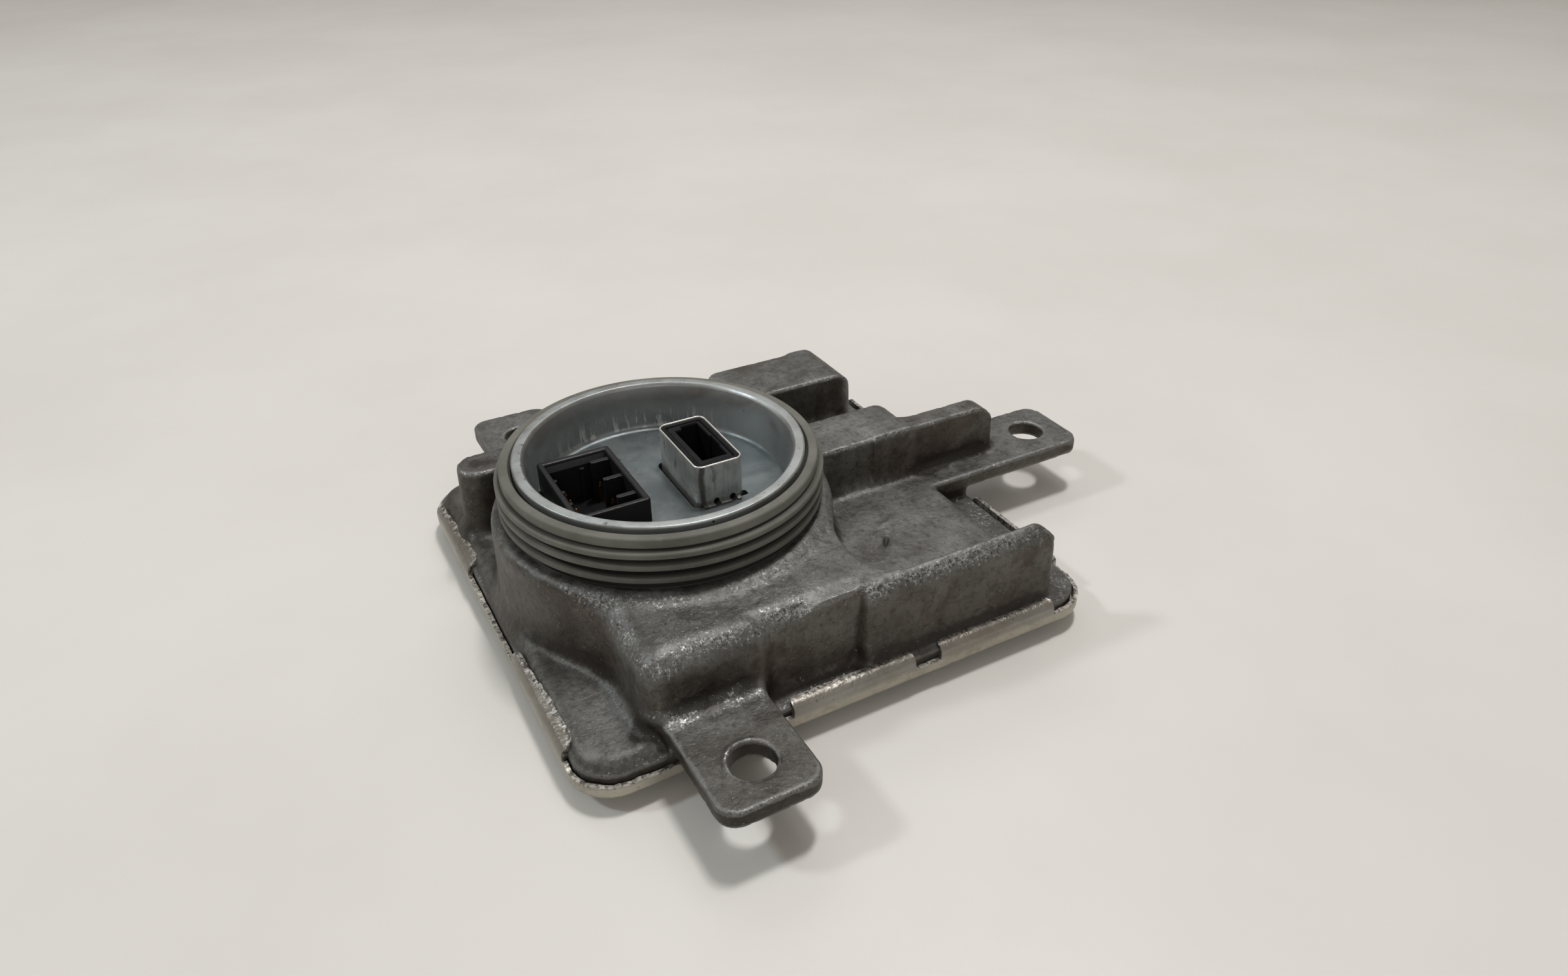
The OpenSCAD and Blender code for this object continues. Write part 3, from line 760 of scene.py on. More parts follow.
def make_output():
    """Shell, gasket and insert of the output socket, and the shell's foot."""
    x0, x1, y0, y1 = SHELL
    top, t = SHELL_TOP, SHEET
    wall = [(0, 18.02)] + [(0, 18 + (top - 18.3) * s) for s in (0.2, 0.4, 0.6, 0.8, 1.0)]
    wall += [(0.03, top - 0.12), (0.1, top - 0.03), (0.18, top), (0.27, top - 0.03)]
    wall += [(t, top - 0.14), (t, 18.02)]
    shell = loft("output_shell_can", tube_loops(SHELL, 1.6, wall, 10), 40, True)

    ring = [(0.0, 24), (0.0, top - 0.3), (0.1, top - 0.16), (0.35, top - 0.08), (0.75, top - 0.12)]
    ring += [(0.95, top - 0.3), (0.95, 24)]
    inside = (x0 + t, x1 - t, y0 + t, y1 - t)
    gasket = loft("output_gasket_ring", tube_loops(inside, 1.25, ring), 60, True)

    g = t + 0.97
    body = [(0, 16.02), (0, top - 0.5), (0.1, top - 0.37), (0.25, top - 0.32)]
    insert = loft("output_insert_body", tube_loops((x0 + g, x1 - g, y0 + g, y1 - g), 0.7, body), 40)
    # Mouth with a key on its right side and a step in its rear left corner
    mouth = [(5.4, -6.6), (10.4, -6.6), (10.4, -3.1), (10.72, -3.1), (10.72, 0.9), (10.4, 0.9)]
    mouth += [(10.4, 6.7), (6.9, 6.7), (6.9, 5.6), (5.4, 5.6)]
    carve(insert, [loft("cutter", upright(mouth, (19.0, 40.0)), None)])
    soft_edges(insert, 0.08)
    strip = bar((x0 + 1.2, x1 - 1.0, y0 + t + 0.02, y0 + g + 0.1), FLOOR - 2, FLOOR + 1.7)
    insert = join("output_insert_body", [insert, strip])
    shade(insert, 40)

    # Foot on the floor, with two round notches that run through the shell too
    outline = rounded(4.0, 11.3, -10.15, -8.9, 0.15, 3)
    foot = loft("output_shell_foot", upright(outline, (FLOOR + 0.02, FLOOR + 0.42)))
    angles = np.linspace(0, 2 * math.pi, 25)[:-1]
    for piece in (foot, shell):
        holes = []
        for x in (x0 + (x1 - x0) * share for share in (0.39, 0.735)):
            circle = [(x + 0.6 * math.cos(a), FLOOR + 0.5 + 0.7 * math.sin(a)) for a in angles]
            holes.append(loft("hole", [[(px, y, pz) for px, pz in circle] for y in (y0 + 0.6, -10.6)], None))
        carve(piece, holes)
    shade(shell, 40)
    soft_edges(foot, 0.06)
    return shell, gasket, insert, foot


# The cover's tabs on each side: from, to, and how each one stands
TABS = {
    "front": [(2.0, 26.0, "fold"), (31.3, 56.5, "fold")],
    "right": [(-34.8, -9.4, "up"), (17.0, 41.0, "up")],
    "rear": [(4.0, 28.0, "fold"), (34.0, 58.0, "fold")],
    "left": [(-36.5, -10.0, "lean"), (18.0, 41.8, "lean")],
}


def stations(a, b, cuts, spacing):
    """Places from a up to b along a side of the cover, with a close pair at each tab's end."""
    marks = sorted([a, b] + [c + d for c0, c1, _ in cuts for c in (c0, c1) for d in (-0.03, 0.03)])
    out = []
    for p, q in zip(marks, marks[1:]):
        n = max(1, int(round((q - p) / spacing))) if q - p > 0.1 else 1
        out += [p + (q - p) * k / n for k in range(n)]
    return out


class Rim:
    """Columns around the cover's edge. Each is a place on a side or a corner, and knows its tab."""

    def __init__(self, low, high, radius, spacing, corner_steps=14):
        self.low, self.high, self.radius = low, high, radius
        self.columns = []
        for side, axis in (("front", 0), ("right", 1), ("rear", 0), ("left", 1)):
            a, b = low[axis] + radius, high[axis] - radius
            run = stations(a, b, TABS[side], spacing)
            if side in ("rear", "left"):
                run = (run[1:] + [b])[::-1]
            for p in run:
                tab = next((t for t in TABS[side] if t[0] < p < t[1]), None)
                self.columns.append((side, p, tab))
            self.columns += [(side + "_corner", k / corner_steps, None) for k in range(corner_steps)]

    def place(self, column, inset, r):
        """Plan position of a column on a loop moved in by inset, whose corners have the radius r."""
        side, p, _ = column
        (x0, y0), (x1, y1) = self.low + inset, self.high - inset
        if side in TABS:
            axis = 0 if side in ("front", "rear") else 1
            a, b = self.low[axis] + self.radius, self.high[axis] - self.radius
            c, d = self.low[axis] + inset + r, self.high[axis] - inset - r
            p = c + (p - a) * (d - c) / (b - a)
            return {"front": (p, y0), "right": (x1, p), "rear": (p, y1), "left": (x0, p)}[side]
        # A side's corner is the one where it ends, going round from front to right, rear and left
        turn = ["front_corner", "right_corner", "rear_corner", "left_corner"].index(side)
        a = math.radians(90 * (turn - 1 + p))
        cx = x1 - r if turn in (0, 1) else x0 + r
        cy = y0 + r if turn in (0, 3) else y1 - r
        return cx + r * math.cos(a), cy + r * math.sin(a)


def make_cover():
    """Sheet cover: pressed pan, rim, low lip, and the tabs that are folded over the flange."""
    base = COVER_LOW[2]
    t, radius, fold_r = 0.8, 7.8, 1.7
    z_turn, z_lip, z_fold, z_up = base + 3.2, base + 5.0, COVER_HIGH[2] - fold_r, base + 6.9
    rim = Rim(COVER_LOW[:2], COVER_HIGH[:2], radius, 0.45)
    columns = rim.columns
    places = np.array([(*rim.place(c, 0, radius), 0.0) for c in columns])
    torn = lattice(places, 1.7, 31, 2) * 0.30 + lattice(places, 6, 32) * 0.12
    torn += lattice(places, 0.6, 35) * 0.12
    jag = lattice(places, 1.8, 33, 2) * 0.3 + lattice(places, 7, 34) * 0.2
    jag += lattice(places, 0.6, 36) * 0.12
    tool = lattice(places, 1.3, 41, 2)

    def end(reach, near):
        """How much shorter a tab is near its ends, whose corners are round over reach."""
        return 1 - math.sqrt(1 - ramp(reach, 0, near) ** 2)

    def length(i, column):
        """How far the sheet runs up from the rim's turn."""
        _, p, tab = column
        if tab is None:
            return z_lip - z_turn + torn[i]
        near = min(p - tab[0], tab[1] - p)
        if tab[2] == "up":
            return z_up - z_turn + 0.1 * jag[i] - 0.5 * ramp(0.8, 0, near)
        reach = z_fold - z_turn + fold_r * math.pi / 2
        if tab[2] == "fold":
            return reach + 0.72 + 0.35 * jag[i] - 1.1 * end(1.1, near)
        # The leaning tabs on the left are narrow at the rear and wide at the front
        wide = ramp(0, 0.75, (tab[1] - p) / (tab[1] - tab[0]))
        return reach - 0.15 + 1.1 * wide + 0.8 * jag[i] - 1.7 * end(2.2, near)

    def wall(column, s):
        """Outer point and normal, as inset and height, at the length s up the sheet."""
        straight = z_fold - z_turn
        tab = column[2]
        if s <= straight or tab is None or tab[2] == "up":
            return (0.0, z_turn + s), (-1.0, 0.0)
        last = math.radians(90 if tab[2] == "fold" else 66)
        a = min((s - straight) / fold_r, last)
        rest = s - straight - fold_r * a
        u = fold_r - fold_r * math.cos(a) + rest * math.sin(a)
        return (u, z_fold + fold_r * math.sin(a) + rest * math.cos(a)), (-math.cos(a), math.sin(a))

    def pan_loop(inset, z):
        r = np.interp(inset, [0, 5.9, 6.9, 9.5], [radius, 2.6, 3.6, 3.0])
        return [(*rim.place(c, inset, r), base + z) for c in columns]

    def edge_point(column, u, z):
        return (*rim.place(column, u, radius - u), z)

    outside = [(9.5, 0.0), (8.4, 0.0), (7.8, 0.06), (7.4, 0.3), (7.15, 0.75), (7.05, 1.3), (6.95, 1.8)]
    outside += [(6.75, 2.15), (6.4, 2.35), (5.9, 2.4)]
    inside = [(9.5, 0.8), (8.7, 0.8), (8.3, 0.95), (8.0, 1.3), (7.9, 1.8), (7.7, 2.5), (7.3, 2.95)]
    inside += [(6.8, 3.15), (6.2, 3.2), (5.9, 3.2)]
    outer = [pan_loop(*p) for p in outside]
    inner = [pan_loop(*p) for p in inside]
    for k in range(5):
        a = math.radians(90 + 90 * k / 4)
        u, z = max(t + t * math.cos(a), 0), z_turn - t * math.sin(a)
        outer.append([edge_point(c, u, z) for c in columns])
    for u, z in ((1.6, z_turn), (1.0, z_turn + 0.02), (0.82, z_turn + 0.1)):
        inner.append([edge_point(c, u, z) for c in columns])
    rows = 16
    lengths = [length(i, c) for i, c in enumerate(columns)]
    for k in range(1, rows + 1):
        out_loop, in_loop = [], []
        for i, c in enumerate(columns):
            s = lengths[i] * k / rows
            (u, z), (nu, nz) = wall(c, s)
            out_loop.append(edge_point(c, u, z + 0.07 * (tool[i] - 1) * max(nz, 0)))
            (u, z), (nu, nz) = wall(c, max(s, 0.2))
            in_loop.append(edge_point(c, u - nu * (t - 0.03), z - nz * (t - 0.03)))
        outer.append(out_loop)
        inner.append(in_loop)
    cover = loft("bottom_cover_sheet", outer + inner[::-1], 50)
    # From 0 on the pan and the rim to 1 at the sheet's edge and inside
    tips = [0.0] * (len(outer) - rows) + [k / rows for k in range(1, rows + 1)] + [1.0] * len(inner)
    set_attribute(cover, "tip", np.repeat(tips, len(columns)))
    return cover


casting = make_casting()
collar = make_collar()
seal = make_seal()
harness = make_harness()
pins = make_pins()
shell, gasket, insert, foot = make_output()
cover = make_cover()


# ---------------- materials
class Paint:
    """A small builder for procedural materials. base is the colour so far. Noise takes its scale
    per metre, so that 1000 is about a millimetre."""

    def __init__(self, name, **values):
        self.m = bpy.data.materials.new(name)
        self.m.use_nodes = True
        self.t = self.m.node_tree
        self.shader = self.t.nodes["Principled BSDF"]
        self.set(**values)
        self.place = self.t.nodes.new("ShaderNodeTexCoord").outputs["Object"]

    def feed(self, socket, value):
        """Links a socket to a node's output, or sets its value or colour."""
        if hasattr(value, "is_output"):
            self.t.links.new(value, socket)
        elif socket.type == "RGBA" and len(value) == 3:
            socket.default_value = (*value, 1.0)
        else:
            socket.default_value = value

    def set(self, **values):
        for name, value in values.items():
            self.feed(self.shader.inputs[name.replace("_", " ")], value)

    def node(self, kind, inputs=(), **props):
        n = self.t.nodes.new(kind)
        for name, value in props.items():
            setattr(n, name, value)
        for socket, value in dict(inputs).items():
            self.feed(n.inputs[socket], value)
        return n

    def stretch(self, x, y, z):
        n = self.node("ShaderNodeMapping", {"Vector": self.place, "Scale": (x, y, z)})
        return n.outputs["Vector"]

    def noise(self, scale, detail, rough=0.55, where=None, warp=0.0):
        inputs = {"Scale": scale, "Detail": detail, "Roughness": rough, "Distortion": warp}
        n = self.node("ShaderNodeTexNoise", {"Vector": where or self.place, **inputs})
        return n.outputs["Fac"]

    def cells(self, scale):
        return self.node("ShaderNodeTexVoronoi", {"Vector": self.place, "Scale": scale}).outputs["Distance"]

    def level(self, value, low, high, a=0.0, b=1.0):
        """Goes smoothly from a to b as the value goes from low to high."""
        inputs = {"Value": value, "From Min": low, "From Max": high, "To Min": a, "To Max": b}
        return self.node("ShaderNodeMapRange", inputs, interpolation_type="SMOOTHSTEP").outputs["Result"]

    def compute(self, operation, a, b):
        return self.node("ShaderNodeMath", {0: a, 1: b}, operation=operation).outputs[0]

    def add(self, a, b):
        return self.compute("ADD", a, b)

    def minus(self, a, b):
        return self.compute("SUBTRACT", a, b)

    def times(self, a, b):
        return self.compute("MULTIPLY", a, b)

    def swing(self, value, amount):
        """A noise as a number around 0."""
        return self.times(self.minus(value, 0.5), amount)

    def attribute(self, name):
        return self.node("ShaderNodeAttribute", attribute_name=name).outputs["Fac"]

    def coordinate(self, axis):
        return self.node("ShaderNodeSeparateXYZ", {0: self.place}).outputs[axis]

    def along(self, axis, low, high, a=0.0, b=1.0):
        """Goes from a to b between two places on an axis, in millimetres."""
        return self.level(self.coordinate(axis), low * MM, high * MM, a, b)

    def blend(self, f, a, b, mode="MIX"):
        return self.node("ShaderNodeMix", {0: f, 6: a, 7: b}, data_type="RGBA", blend_type=mode).outputs[2]

    def start(self, value, low, high, first, second):
        """The colour goes from the first to the second as the value goes from low to high."""
        self.base = self.blend(self.level(value, low, high), first, second)

    def patch(self, value, low, high, most, colour):
        """Covers with a colour as the value goes from low to high, at most by the number most."""
        self.over(self.level(value, low, high, 0, most), colour)

    def over(self, f, colour):
        """Covers the colour so far with another one, by the amount f."""
        self.base = self.blend(f, self.base, colour)

    def dim(self, f, colour):
        """Multiplies the colour so far by another one, by the amount f."""
        self.base = self.blend(f, self.base, colour, "MULTIPLY")

    def finish(self, rough, *bumps):
        """Hands the colour, the roughness and the bumps to the shader. A bump is (height, strength, mm)."""
        self.set(Base_Color=self.base, Roughness=rough)
        for height, strength, depth in bumps:
            n = self.node("ShaderNodeBump", {"Height": height, "Strength": strength, "Distance": depth * MM})
            now = self.shader.inputs["Normal"]
            if now.is_linked:
                self.feed(n.inputs["Normal"], now.links[0].from_socket)
            self.feed(now, n.outputs["Normal"])
        return self

    def tint(self, f, colour):
        """Another colour by the amount f, on a finished paint."""
        self.over(f, colour)
        self.set(Base_Color=self.base)
        return self


def coat(obj, paint):
    obj.data.materials.clear()
    obj.data.materials.append(paint.m)


def cast_paint():
    """Cast aluminium, blotched and stained, with bare metal where it is rubbed."""
    p = Paint("cast_aluminium", Metallic=0.6)
    big = p.noise(34, 4, 0.6, warp=0.8)
    mid = p.noise(210, 5, 0.68)
    fine = p.noise(900, 5, 0.7)
    grain = p.noise(2300, 3, 0.6)
    p.start(big, 0.38, 0.64, (0.116, 0.115, 0.109), (0.190, 0.198, 0.194))
    cloud = p.level(p.noise(105, 4, 0.6, warp=0.6), 0.36, 0.64)
    p.dim(p.minus(1.0, cloud), (0.70, 0.675, 0.65))
    p.patch(mid, 0.42, 0.68, 0.55, (0.205, 0.213, 0.208))
    p.patch(fine, 0.46, 0.66, 0.6, (0.056, 0.051, 0.046))
    speck = p.noise(1250, 4, 0.7, where=p.stretch(1.0, 1.2, 0.9))
    p.patch(speck, 0.58, 0.72, 0.65, (0.29, 0.298, 0.288))
    # Upright walls are painted darker and browner, and darker still lower down: painted shade. Stains gather
    # in the corners
    side = p.level(p.attribute("up"), 0.75, 0.15)
    p.dim(side, (0.80, 0.75, 0.69))
    p.dim(p.times(side, p.along("Z", DECK - 1.5, TIER - 2)), (0.66, 0.63, 0.60))
    stain = p.level(p.noise(75, 4, 0.6, warp=1.2), 0.46, 0.64)
    p.dim(p.times(stain, p.level(side, 0, 1, 0.15, 0.7)), (0.62, 0.48, 0.40))
    # The front ear and the rear left corner are darker than the rest
    p.dim(p.along("Y", -47, -51, 0, 0.9), (0.62, 0.59, 0.56))
    corner = p.times(p.along("X", -22, -31), p.along("Y", 2, 16))
    p.dim(p.times(corner, 0.9), (0.60, 0.56, 0.52))
    # Painted shade: hollows and corners are darkened, and the struck gouge with them
    darkening = p.add(p.attribute("hollow"), p.swing(mid, 0.6))
    p.patch(darkening, 0.03, -0.19, 0.82, (0.022, 0.018, 0.015))
    p.over(p.along("Z", FLANGE1 + 0.6, FLANGE1 + 0.1, 0, 0.7), (0.045, 0.040, 0.034))
    # Convex edges are painted lighter: worn edges, and partly a painted highlight along them
    edge = p.add(p.attribute("edge"), p.swing(mid, 2.2))
    p.patch(edge, 0.55, 1.15, 0.45, (0.25, 0.25, 0.24))
    # Grainy scuffs along the front edges: bare metal with dark pits between, and a painted sheen over the
    # deck's front nose
    patch = p.level(p.noise(130, 3, 0.6), 0.34, 0.60, 0.25, 1.0)
    scuff_and_sheen = p.times(p.attribute("scuff_and_sheen"), patch)
    p.over(p.times(scuff_and_sheen, 0.5), (0.22, 0.23, 0.228))
    rub = p.level(p.add(p.noise(1700, 4, 0.75), p.times(scuff_and_sheen, 0.24)), 0.63, 0.77)
    pit = p.noise(1900, 4, 0.75, where=p.stretch(1.1, 1.1, 1.3))
    pit = p.level(p.add(pit, p.times(scuff_and_sheen, 0.17)), 0.62, 0.70, 0, 0.8)
    p.over(rub, (0.43, 0.435, 0.425))
    p.over(pit, (0.024, 0.021, 0.018))
    rough = p.minus(p.level(mid, 0.3, 0.7, 0.38, 0.56), p.times(rub, 0.12))
    return p.finish(rough, (grain, 0.5, 0.06), (fine, 0.65, 0.17), (mid, 0.5, 0.4))


def machined_paint():
    """Bore, rim and floor of the collar: turned, then tarnished."""
    p = Paint("machined_aluminium", Metallic=0.85)
    smear = p.noise(60, 5, 0.65, warp=1.0)
    mid = p.noise(260, 5, 0.7)
    fine = p.noise(1500, 3, 0.6)
    p.start(smear, 0.36, 0.66, (0.215, 0.238, 0.250), (0.36, 0.385, 0.39))
    p.patch(mid, 0.50, 0.70, 0.4, (0.17, 0.18, 0.19))
    # The wall is paler than the floor, most of all on the right, where a reflection is painted, and browner
    # high up
    wall = p.along("Z", FLOOR + 0.3, FLOOR + 1.2)
    p.over(p.times(wall, 0.4), (0.38, 0.395, 0.40))
    p.dim(p.minus(1.0, wall), (0.58, 0.61, 0.61))
    # Painted reflection on the right of the wall
    p.over(p.times(wall, p.along("X", 11, 21, 0, 0.55)), (0.56, 0.58, 0.58))
    upper = p.times(p.along("Z", FLOOR + 4, FLOOR + 7), p.level(smear, 0.42, 0.6, 0, 0.5))
    p.over(upper, (0.19, 0.165, 0.145))
    # Pale runs low on the rear wall
    run = p.level(p.noise(1100, 4, 0.65, where=p.stretch(1, 1, 0.10)), 0.53, 0.60)
    reach = p.add(p.coordinate("Z"), p.times(p.noise(90, 2), 0.004))
    low = p.times(wall, p.level(reach, (FLOOR + 7.6) * MM, (FLOOR + 3.6) * MM))
    back = p.times(p.along("Y", 12, 19), p.along("X", -16, -3, 0.25, 1.0))
    p.over(p.times(p.times(p.times(run, low), back), 0.85), (0.80, 0.80, 0.78))
    spots = p.times(p.level(p.cells(420), 0.15, 0.06), p.level(p.noise(120, 2), 0.54, 0.62))
    p.over(spots, (0.05, 0.045, 0.04))
    # The rim is rubbed bright, with a few nicks
    rim = p.along("Z", RIM - 0.35, RIM - 0.1)
    p.over(p.times(rim, p.level(mid, 0.35, 0.6, 0.3, 0.8)), (0.43, 0.465, 0.465))
    p.over(p.times(rim, p.level(p.noise(700, 4, 0.75), 0.62, 0.70)), (0.09, 0.085, 0.08))
    return p.finish(p.level(mid, 0.3, 0.75, 0.38, 0.55), (fine, 0.22, 0.03), (mid, 0.18, 0.14))


def scaled(colour, by, plus=0.0):
    """A brighter or darker version of a colour."""
    return tuple(min(1, c * by + plus) for c in colour)


def rubber_paint(name, dark, light, rough, gloss=0.4):
    p = Paint(name, Metallic=0.0, Specular_IOR_Level=gloss)
    cloud = p.noise(90, 4, 0.6)
    fine = p.noise(1400, 3, 0.6)
    p.start(cloud, 0.3, 0.7, dark, light)
    p.patch(p.noise(600, 5, 0.7), 0.58, 0.75, 0.25, scaled(light, 1.6, 0.02))
    rough = p.level(fine, 0.2, 0.8, rough - 0.08, rough + 0.12)
    return p.finish(rough, (fine, 0.2, 0.03), (cloud, 0.2, 0.1))


def plastic_paint(name, colour, rough, wear=(0.2, 0.2, 0.2), speck=0.35, gloss=0.4):
    p = Paint(name, Metallic=0.0, Specular_IOR_Level=gloss)
    cloud = p.noise(120, 4, 0.6)
    fine = p.noise(2200, 3, 0.6)
    p.start(cloud, 0.35, 0.7, scaled(colour, 0.8), scaled(colour, 1.2))
    p.patch(p.noise(500, 6, 0.75, where=p.stretch(1, 1, 0.4)), 0.6, 0.75, speck, wear)
    return p.finish(p.level(fine, 0.25, 0.75, rough - 0.07, rough + 0.1), (fine, 0.15, 0.02))


def metal_paint(name, colour, dull, rough, metallic=0.95):
    p = Paint(name, Metallic=metallic)
    cloud = p.noise(110, 4, 0.6, warp=0.4)
    line = p.noise(900, 4, 0.65)
    p.start(cloud, 0.35, 0.7, dull, colour)
    p.patch(line, 0.5, 0.75, 0.35, scaled(dull, 0.55))
    rough = p.level(line, 0.25, 0.75, rough - 0.08, rough + 0.12)
    return p.finish(rough, (line, 0.2, 0.03), (cloud, 0.15, 0.1))


def shell_paint():
    """Socket shell: bright drawn steel with runs and smudges down its sides."""
    p = Paint("shell_steel", Metallic=0.7)
    cloud = p.noise(150, 4, 0.6, warp=0.8)
    line = p.noise(900, 4, 0.65, where=p.stretch(1, 1, 0.1))
    p.start(cloud, 0.36, 0.64, (0.45, 0.465, 0.455), (0.72, 0.73, 0.705))
    p.patch(line, 0.52, 0.74, 0.4, (0.25, 0.25, 0.235))
    run = p.noise(420, 4, 0.65, where=p.stretch(1, 1, 0.22))
    p.patch(run, 0.60, 0.70, 0.8, (0.07, 0.066, 0.058))
    # A dark run down the front left corner
    left, front = SHELL_LOW[0], SHELL_LOW[1]
    across = p.add(p.coordinate("X"), p.times(p.noise(300, 3), 0.0012))
    stripe = p.level(across, (left + 2.4) * MM, (left + 1.8) * MM)
    stripe = p.times(stripe, p.level(across, (left + 0.9) * MM, (left + 1.3) * MM))
    stripe = p.times(stripe, p.along("Y", front + 2.0, front + 1.2))
    p.over(p.times(stripe, 0.8), (0.05, 0.048, 0.043))
    # Darker towards the bottom, and a bright rim
    darkening = p.add(p.coordinate("Z"), p.times(cloud, 0.0008))
    p.over(p.level(darkening, (FLOOR + 1.6) * MM, (FLOOR + 0.7) * MM, 0, 0.5), (0.12, 0.115, 0.10))
    p.over(p.along("Z", SHELL_TOP - 0.25, SHELL_TOP - 0.1, 0, 0.8), (0.82, 0.82, 0.79))
    return p.finish(p.level(line, 0.25, 0.75, 0.26, 0.42), (line, 0.2, 0.03), (cloud, 0.2, 0.12))


def zinc_paint():
    """Cover sheet: bright where the tool pressed it, chalky below."""
    p = Paint("zinc_sheet", Metallic=0.75)
    cloud = p.noise(60, 4, 0.6, warp=0.5)
    mid = p.noise(350, 5, 0.65)
    fine = p.noise(1500, 4, 0.7)
    p.start(cloud, 0.35, 0.7, (0.225, 0.211, 0.186), (0.33, 0.318, 0.288))
    bottom = COVER_LOW[2]
    p.over(p.along("Z", bottom + 5.6, bottom + 4.2, 0, 0.8), (0.47, 0.445, 0.375))
    p.patch(mid, 0.56, 0.72, 0.5, (0.25, 0.235, 0.20))
    p.patch(fine, 0.64, 0.72, 0.8, (0.07, 0.065, 0.055))
    smudge = p.noise(140, 5, 0.65, where=p.stretch(1, 1, 1.6))
    p.patch(smudge, 0.48, 0.66, 0.55, (0.24, 0.215, 0.175))
    # Torn crumbs at the sheet's edge
    torn = p.level(p.add(p.attribute("tip"), p.swing(mid, 0.5)), 0.78, 0.94, 0, 0.85)
    crumb = p.level(p.noise(1200, 4, 0.75), 0.40, 0.56)
    p.over(torn, p.blend(crumb, (0.060, 0.053, 0.045), (0.55, 0.54, 0.50)))
    ripple = p.times(p.noise(900, 3, 0.6), p.along("Z", bottom + 6.6, bottom + 7.2, 0.1, 1.0))
    return p.finish(p.level(fine, 0.3, 0.75, 0.34, 0.54), (ripple, 0.7, 0.25), (fine, 0.2, 0.05))


# ---------------- paint and place of every piece
cast = cast_paint()
machined = machined_paint()
sealing = rubber_paint("seal_rubber", (0.120, 0.121, 0.104), (0.172, 0.174, 0.152), 0.6, 0.3)
# Painted shade in the seal's grooves and low down
sealing.tint(sealing.attribute("seal_shade"), (0.030, 0.029, 0.026))
socket_black = plastic_paint("socket_black", (0.010, 0.010, 0.012), 0.38, (0.09, 0.09, 0.095), 0.35, 0.3)
gold = metal_paint("gold_flash", (0.42, 0.25, 0.10), (0.22, 0.12, 0.05), 0.3)
steel = shell_paint()
gasket_black = rubber_paint("gasket_black", (0.004, 0.004, 0.005), (0.008, 0.008, 0.009), 0.45, 0.12)
# The insert is painted black below its mouth's rim, as painted shade inside the mouth, and its strip in
# front is red
insert_grey = plastic_paint("insert_grey", (0.018, 0.019, 0.020), 0.6, (0.05, 0.05, 0.05), 0.3, 0.08)
# Painted shade inside the mouth
insert_grey.tint(insert_grey.along("Z", SHELL_TOP - 0.7, SHELL_TOP - 0.8), (0.003, 0.003, 0.003))
insert_grey.tint(insert_grey.along("Y", SHELL_LOW[1] + 2.3, SHELL_LOW[1] + 2.2), (0.22, 0.008, 0.008))

for piece, node, paint, slot in (
    (casting, "housing", cast, "cast_aluminium"),
    (collar, "housing", machined, "cast_aluminium"),
    (seal, "collar_seal", sealing, "seal_rubber"),
    (harness, "harness_socket", socket_black, "black_plastic"),
    (pins, "harness_pins", gold, "gold_contact"),
    (shell, "output_shell", steel, "shell_steel"),
    (foot, "output_shell", steel, "shell_steel"),
    (gasket, "output_gasket", gasket_black, "gasket_rubber"),
    (insert, "output_insert", insert_grey, "grey_plastic"),
    (cover, "bottom_cover", zinc_paint(), "sheet_steel"),
):
    coat(piece, paint)
    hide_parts(node)
    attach(piece, "root")

# Parts inside, and small ones that keep their CAD shape
ferrite = plastic_paint("ferrite_grey", (0.05, 0.052, 0.056), 0.6, (0.12, 0.12, 0.12))
copper = metal_paint("enamelled_wire", (0.62, 0.28, 0.11), (0.42, 0.17, 0.06), 0.3, 0.8)
epoxy = plastic_paint("chip_epoxy", (0.02, 0.02, 0.022), 0.5)
tin = metal_paint("tinned_lead", (0.70, 0.69, 0.62), (0.48, 0.47, 0.42), 0.32)
for paint, *nodes in (
    (ferrite, "transformer_core", "filter_core", "choke_rod"),
    (copper, "transformer_winding", "filter_winding", "choke_winding"),
    (epoxy, "power_transistors", "control_chip", "driver_chips", "shunt_resistors", "rectifier_diodes"),
    (tin, "output_contacts", "transformer_pins", "transistor_tabs", "control_chip_leads"),
    (rubber_paint("sealant_grey", (0.20, 0.195, 0.175), (0.28, 0.27, 0.25), 0.5), "cover_sealant"),
    (rubber_paint("foam_black", (0.02, 0.022, 0.021), (0.035, 0.037, 0.036), 0.8), "harness_gasket"),
    (rubber_paint("bung_rubber", (0.012, 0.012, 0.012), (0.02, 0.02, 0.02), 0.7), "capacitor_bungs"),
    (rubber_paint("pad_silicone", (0.16, 0.22, 0.26), (0.22, 0.29, 0.34), 0.8), "thermal_pad"),
    (plastic_paint("solder_mask", (0.03, 0.12, 0.05), 0.3, (0.10, 0.30, 0.14)), "circuit_board"),
    (plastic_paint("bobbin_black", (0.02, 0.021, 0.024), 0.4), "transformer_bobbin"),
    (plastic_paint("can_sleeve", (0.03, 0.05, 0.14), 0.3), "bulk_capacitors"),
    (plastic_paint("film_box", (0.36, 0.19, 0.05), 0.35, (0.5, 0.32, 0.12)), "film_capacitors"),
    (plastic_paint("ceramic_tan", (0.42, 0.30, 0.17), 0.5, (0.6, 0.5, 0.35)), "ceramic_capacitors"),
    (metal_paint("spring_bronze", (0.58, 0.42, 0.20), (0.40, 0.27, 0.12), 0.3), "ground_spring"),
    (metal_paint("zinc_screw", (0.55, 0.57, 0.60), (0.35, 0.36, 0.38), 0.3), "board_screws"),
):
    for node in nodes:
        coat(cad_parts[node], paint)


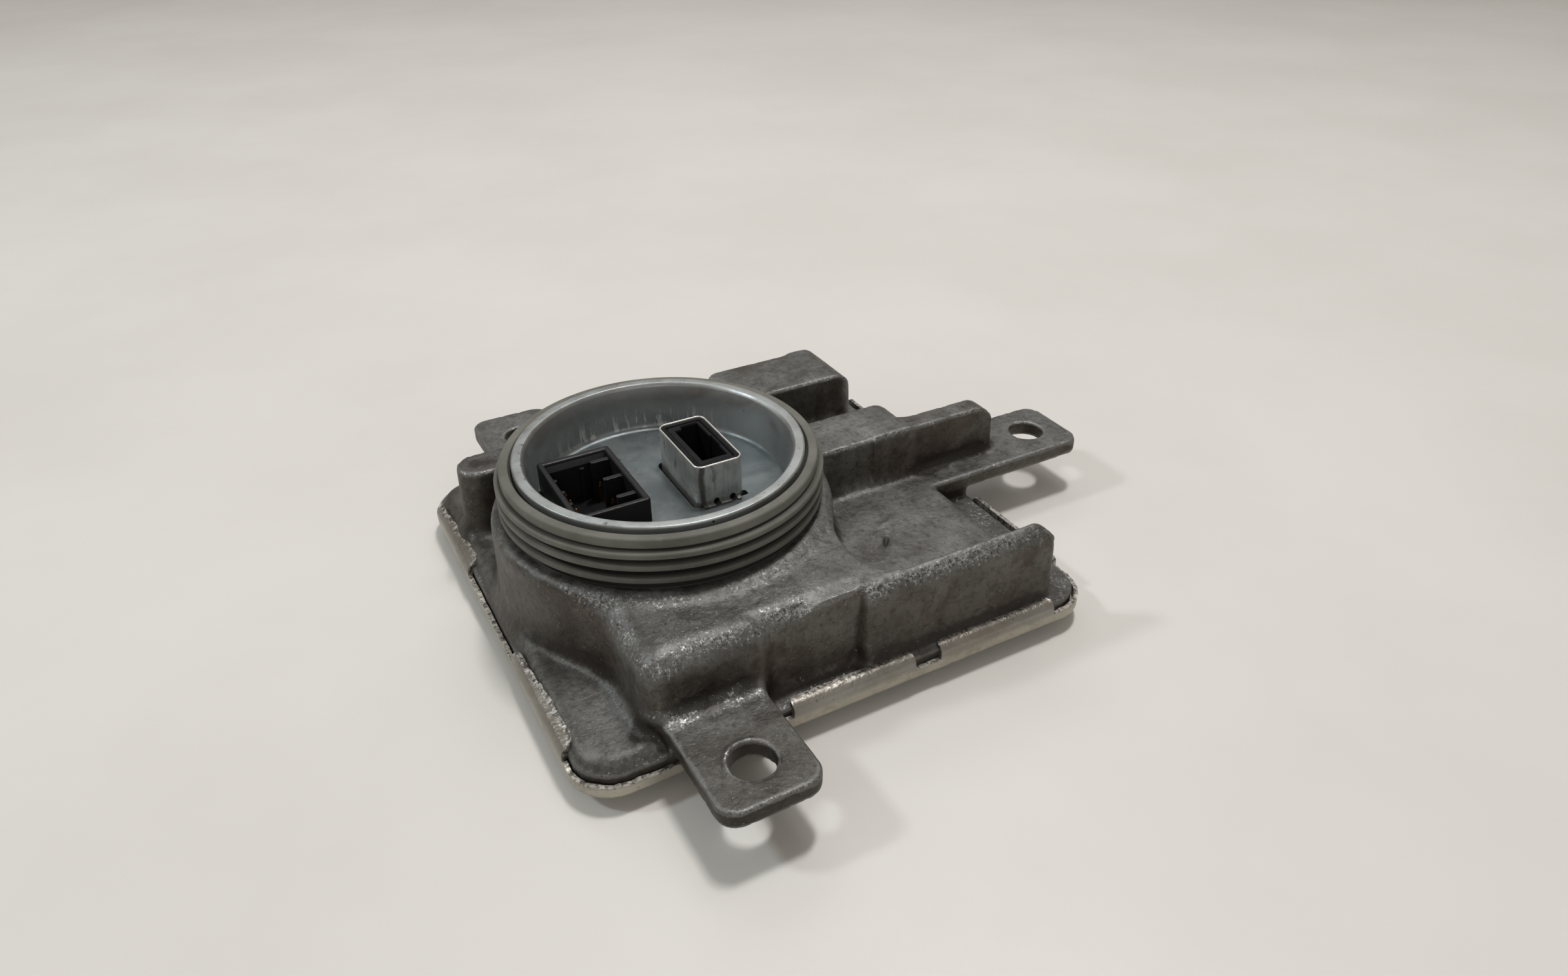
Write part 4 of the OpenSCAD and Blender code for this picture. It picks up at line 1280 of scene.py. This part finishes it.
# ---------------- floor, light and camera
def make_floor():
    side, n = 3000.0, 24
    steps = [(i / n - 0.5) * side for i in range(n + 1)]
    verts = [(x, y, COVER_LOW[2]) for y in steps for x in steps]
    firsts = [j * (n + 1) + i for j in range(n) for i in range(n)]
    floor = mesh_object("floor", verts, [(v, v + 1, v + n + 2, v + n + 1) for v in firsts])
    p = Paint("pale_floor", Metallic=0.0)
    cloud = p.noise(9, 4, 0.6)
    fine = p.noise(700, 4, 0.7)
    p.start(cloud, 0.3, 0.7, (0.70, 0.695, 0.665), (0.745, 0.742, 0.715))
    p.patch(fine, 0.66, 0.78, 0.12, (0.5, 0.49, 0.46))
    coat(floor, p.finish(p.level(fine, 0.3, 0.7, 0.42, 0.55), (fine, 0.06, 0.05)))


def area_light(name, place, target, size, power, colour):
    """A rectangular light that faces the target. Places and sizes are in metres."""
    data = bpy.data.lights.new(name, "AREA")
    data.shape = "RECTANGLE"
    data.size, data.size_y = size
    data.energy = power
    data.color = colour
    obj = add_object(name, data)
    obj.location = place
    obj.rotation_euler = (Vector(target) - Vector(place)).to_track_quat("-Z", "Y").to_euler()


make_floor()
centre = (cad_low + cad_high) / 2
area_light("key", (0.22, 0.13, 1.0), centre, (0.09, 0.17), 4.6, (1.0, 0.965, 0.94))
area_light("side", (0.45, 0.25, 1.0), centre, (0.30, 0.30), 0.8, (1.0, 0.98, 0.96))
area_light("back", (0.25, 0.95, 0.95), centre, (0.90, 0.35), 1.5, (0.97, 0.99, 1.0))
area_light("left", (-0.80, 0.42, 0.85), centre, (0.14, 0.14), 3.8, (0.90, 0.975, 1.0))
area_light("front", (-0.15, -1.0, 0.60), centre, (0.90, 0.40), 1.7, (0.97, 0.99, 1.0))

world = bpy.data.worlds.new("room")
bpy.context.scene.world = world
world.use_nodes = True
background = world.node_tree.nodes["Background"]
background.inputs["Color"].default_value = (1.0, 0.88, 0.77, 1.0)
background.inputs["Strength"].default_value = 0.26

# Camera on the left front, looking down at the collar
CAMERA_AT = Vector((-60.77, -158.39, RIM + 98.43)) * MM
PITCH, YAW, ROLL = 32.70, 28.57, -0.507
camera = add_object("camera", bpy.data.cameras.new("camera"))
turn = (
    Matrix.Rotation(math.radians(-YAW), 4, "Z")
    @ Matrix.Rotation(math.radians(90 - PITCH), 4, "X")
    @ Matrix.Rotation(math.radians(ROLL), 4, "Z")
)
camera.matrix_world = Matrix.Translation(CAMERA_AT) @ turn
camera.data.sensor_width = 36
camera.data.lens = 24.887
camera.data.clip_start, camera.data.clip_end = 0.01, 10
bpy.context.scene.camera = camera
bpy.context.scene.view_settings.view_transform = "Standard"

bpy.context.view_layer.update()
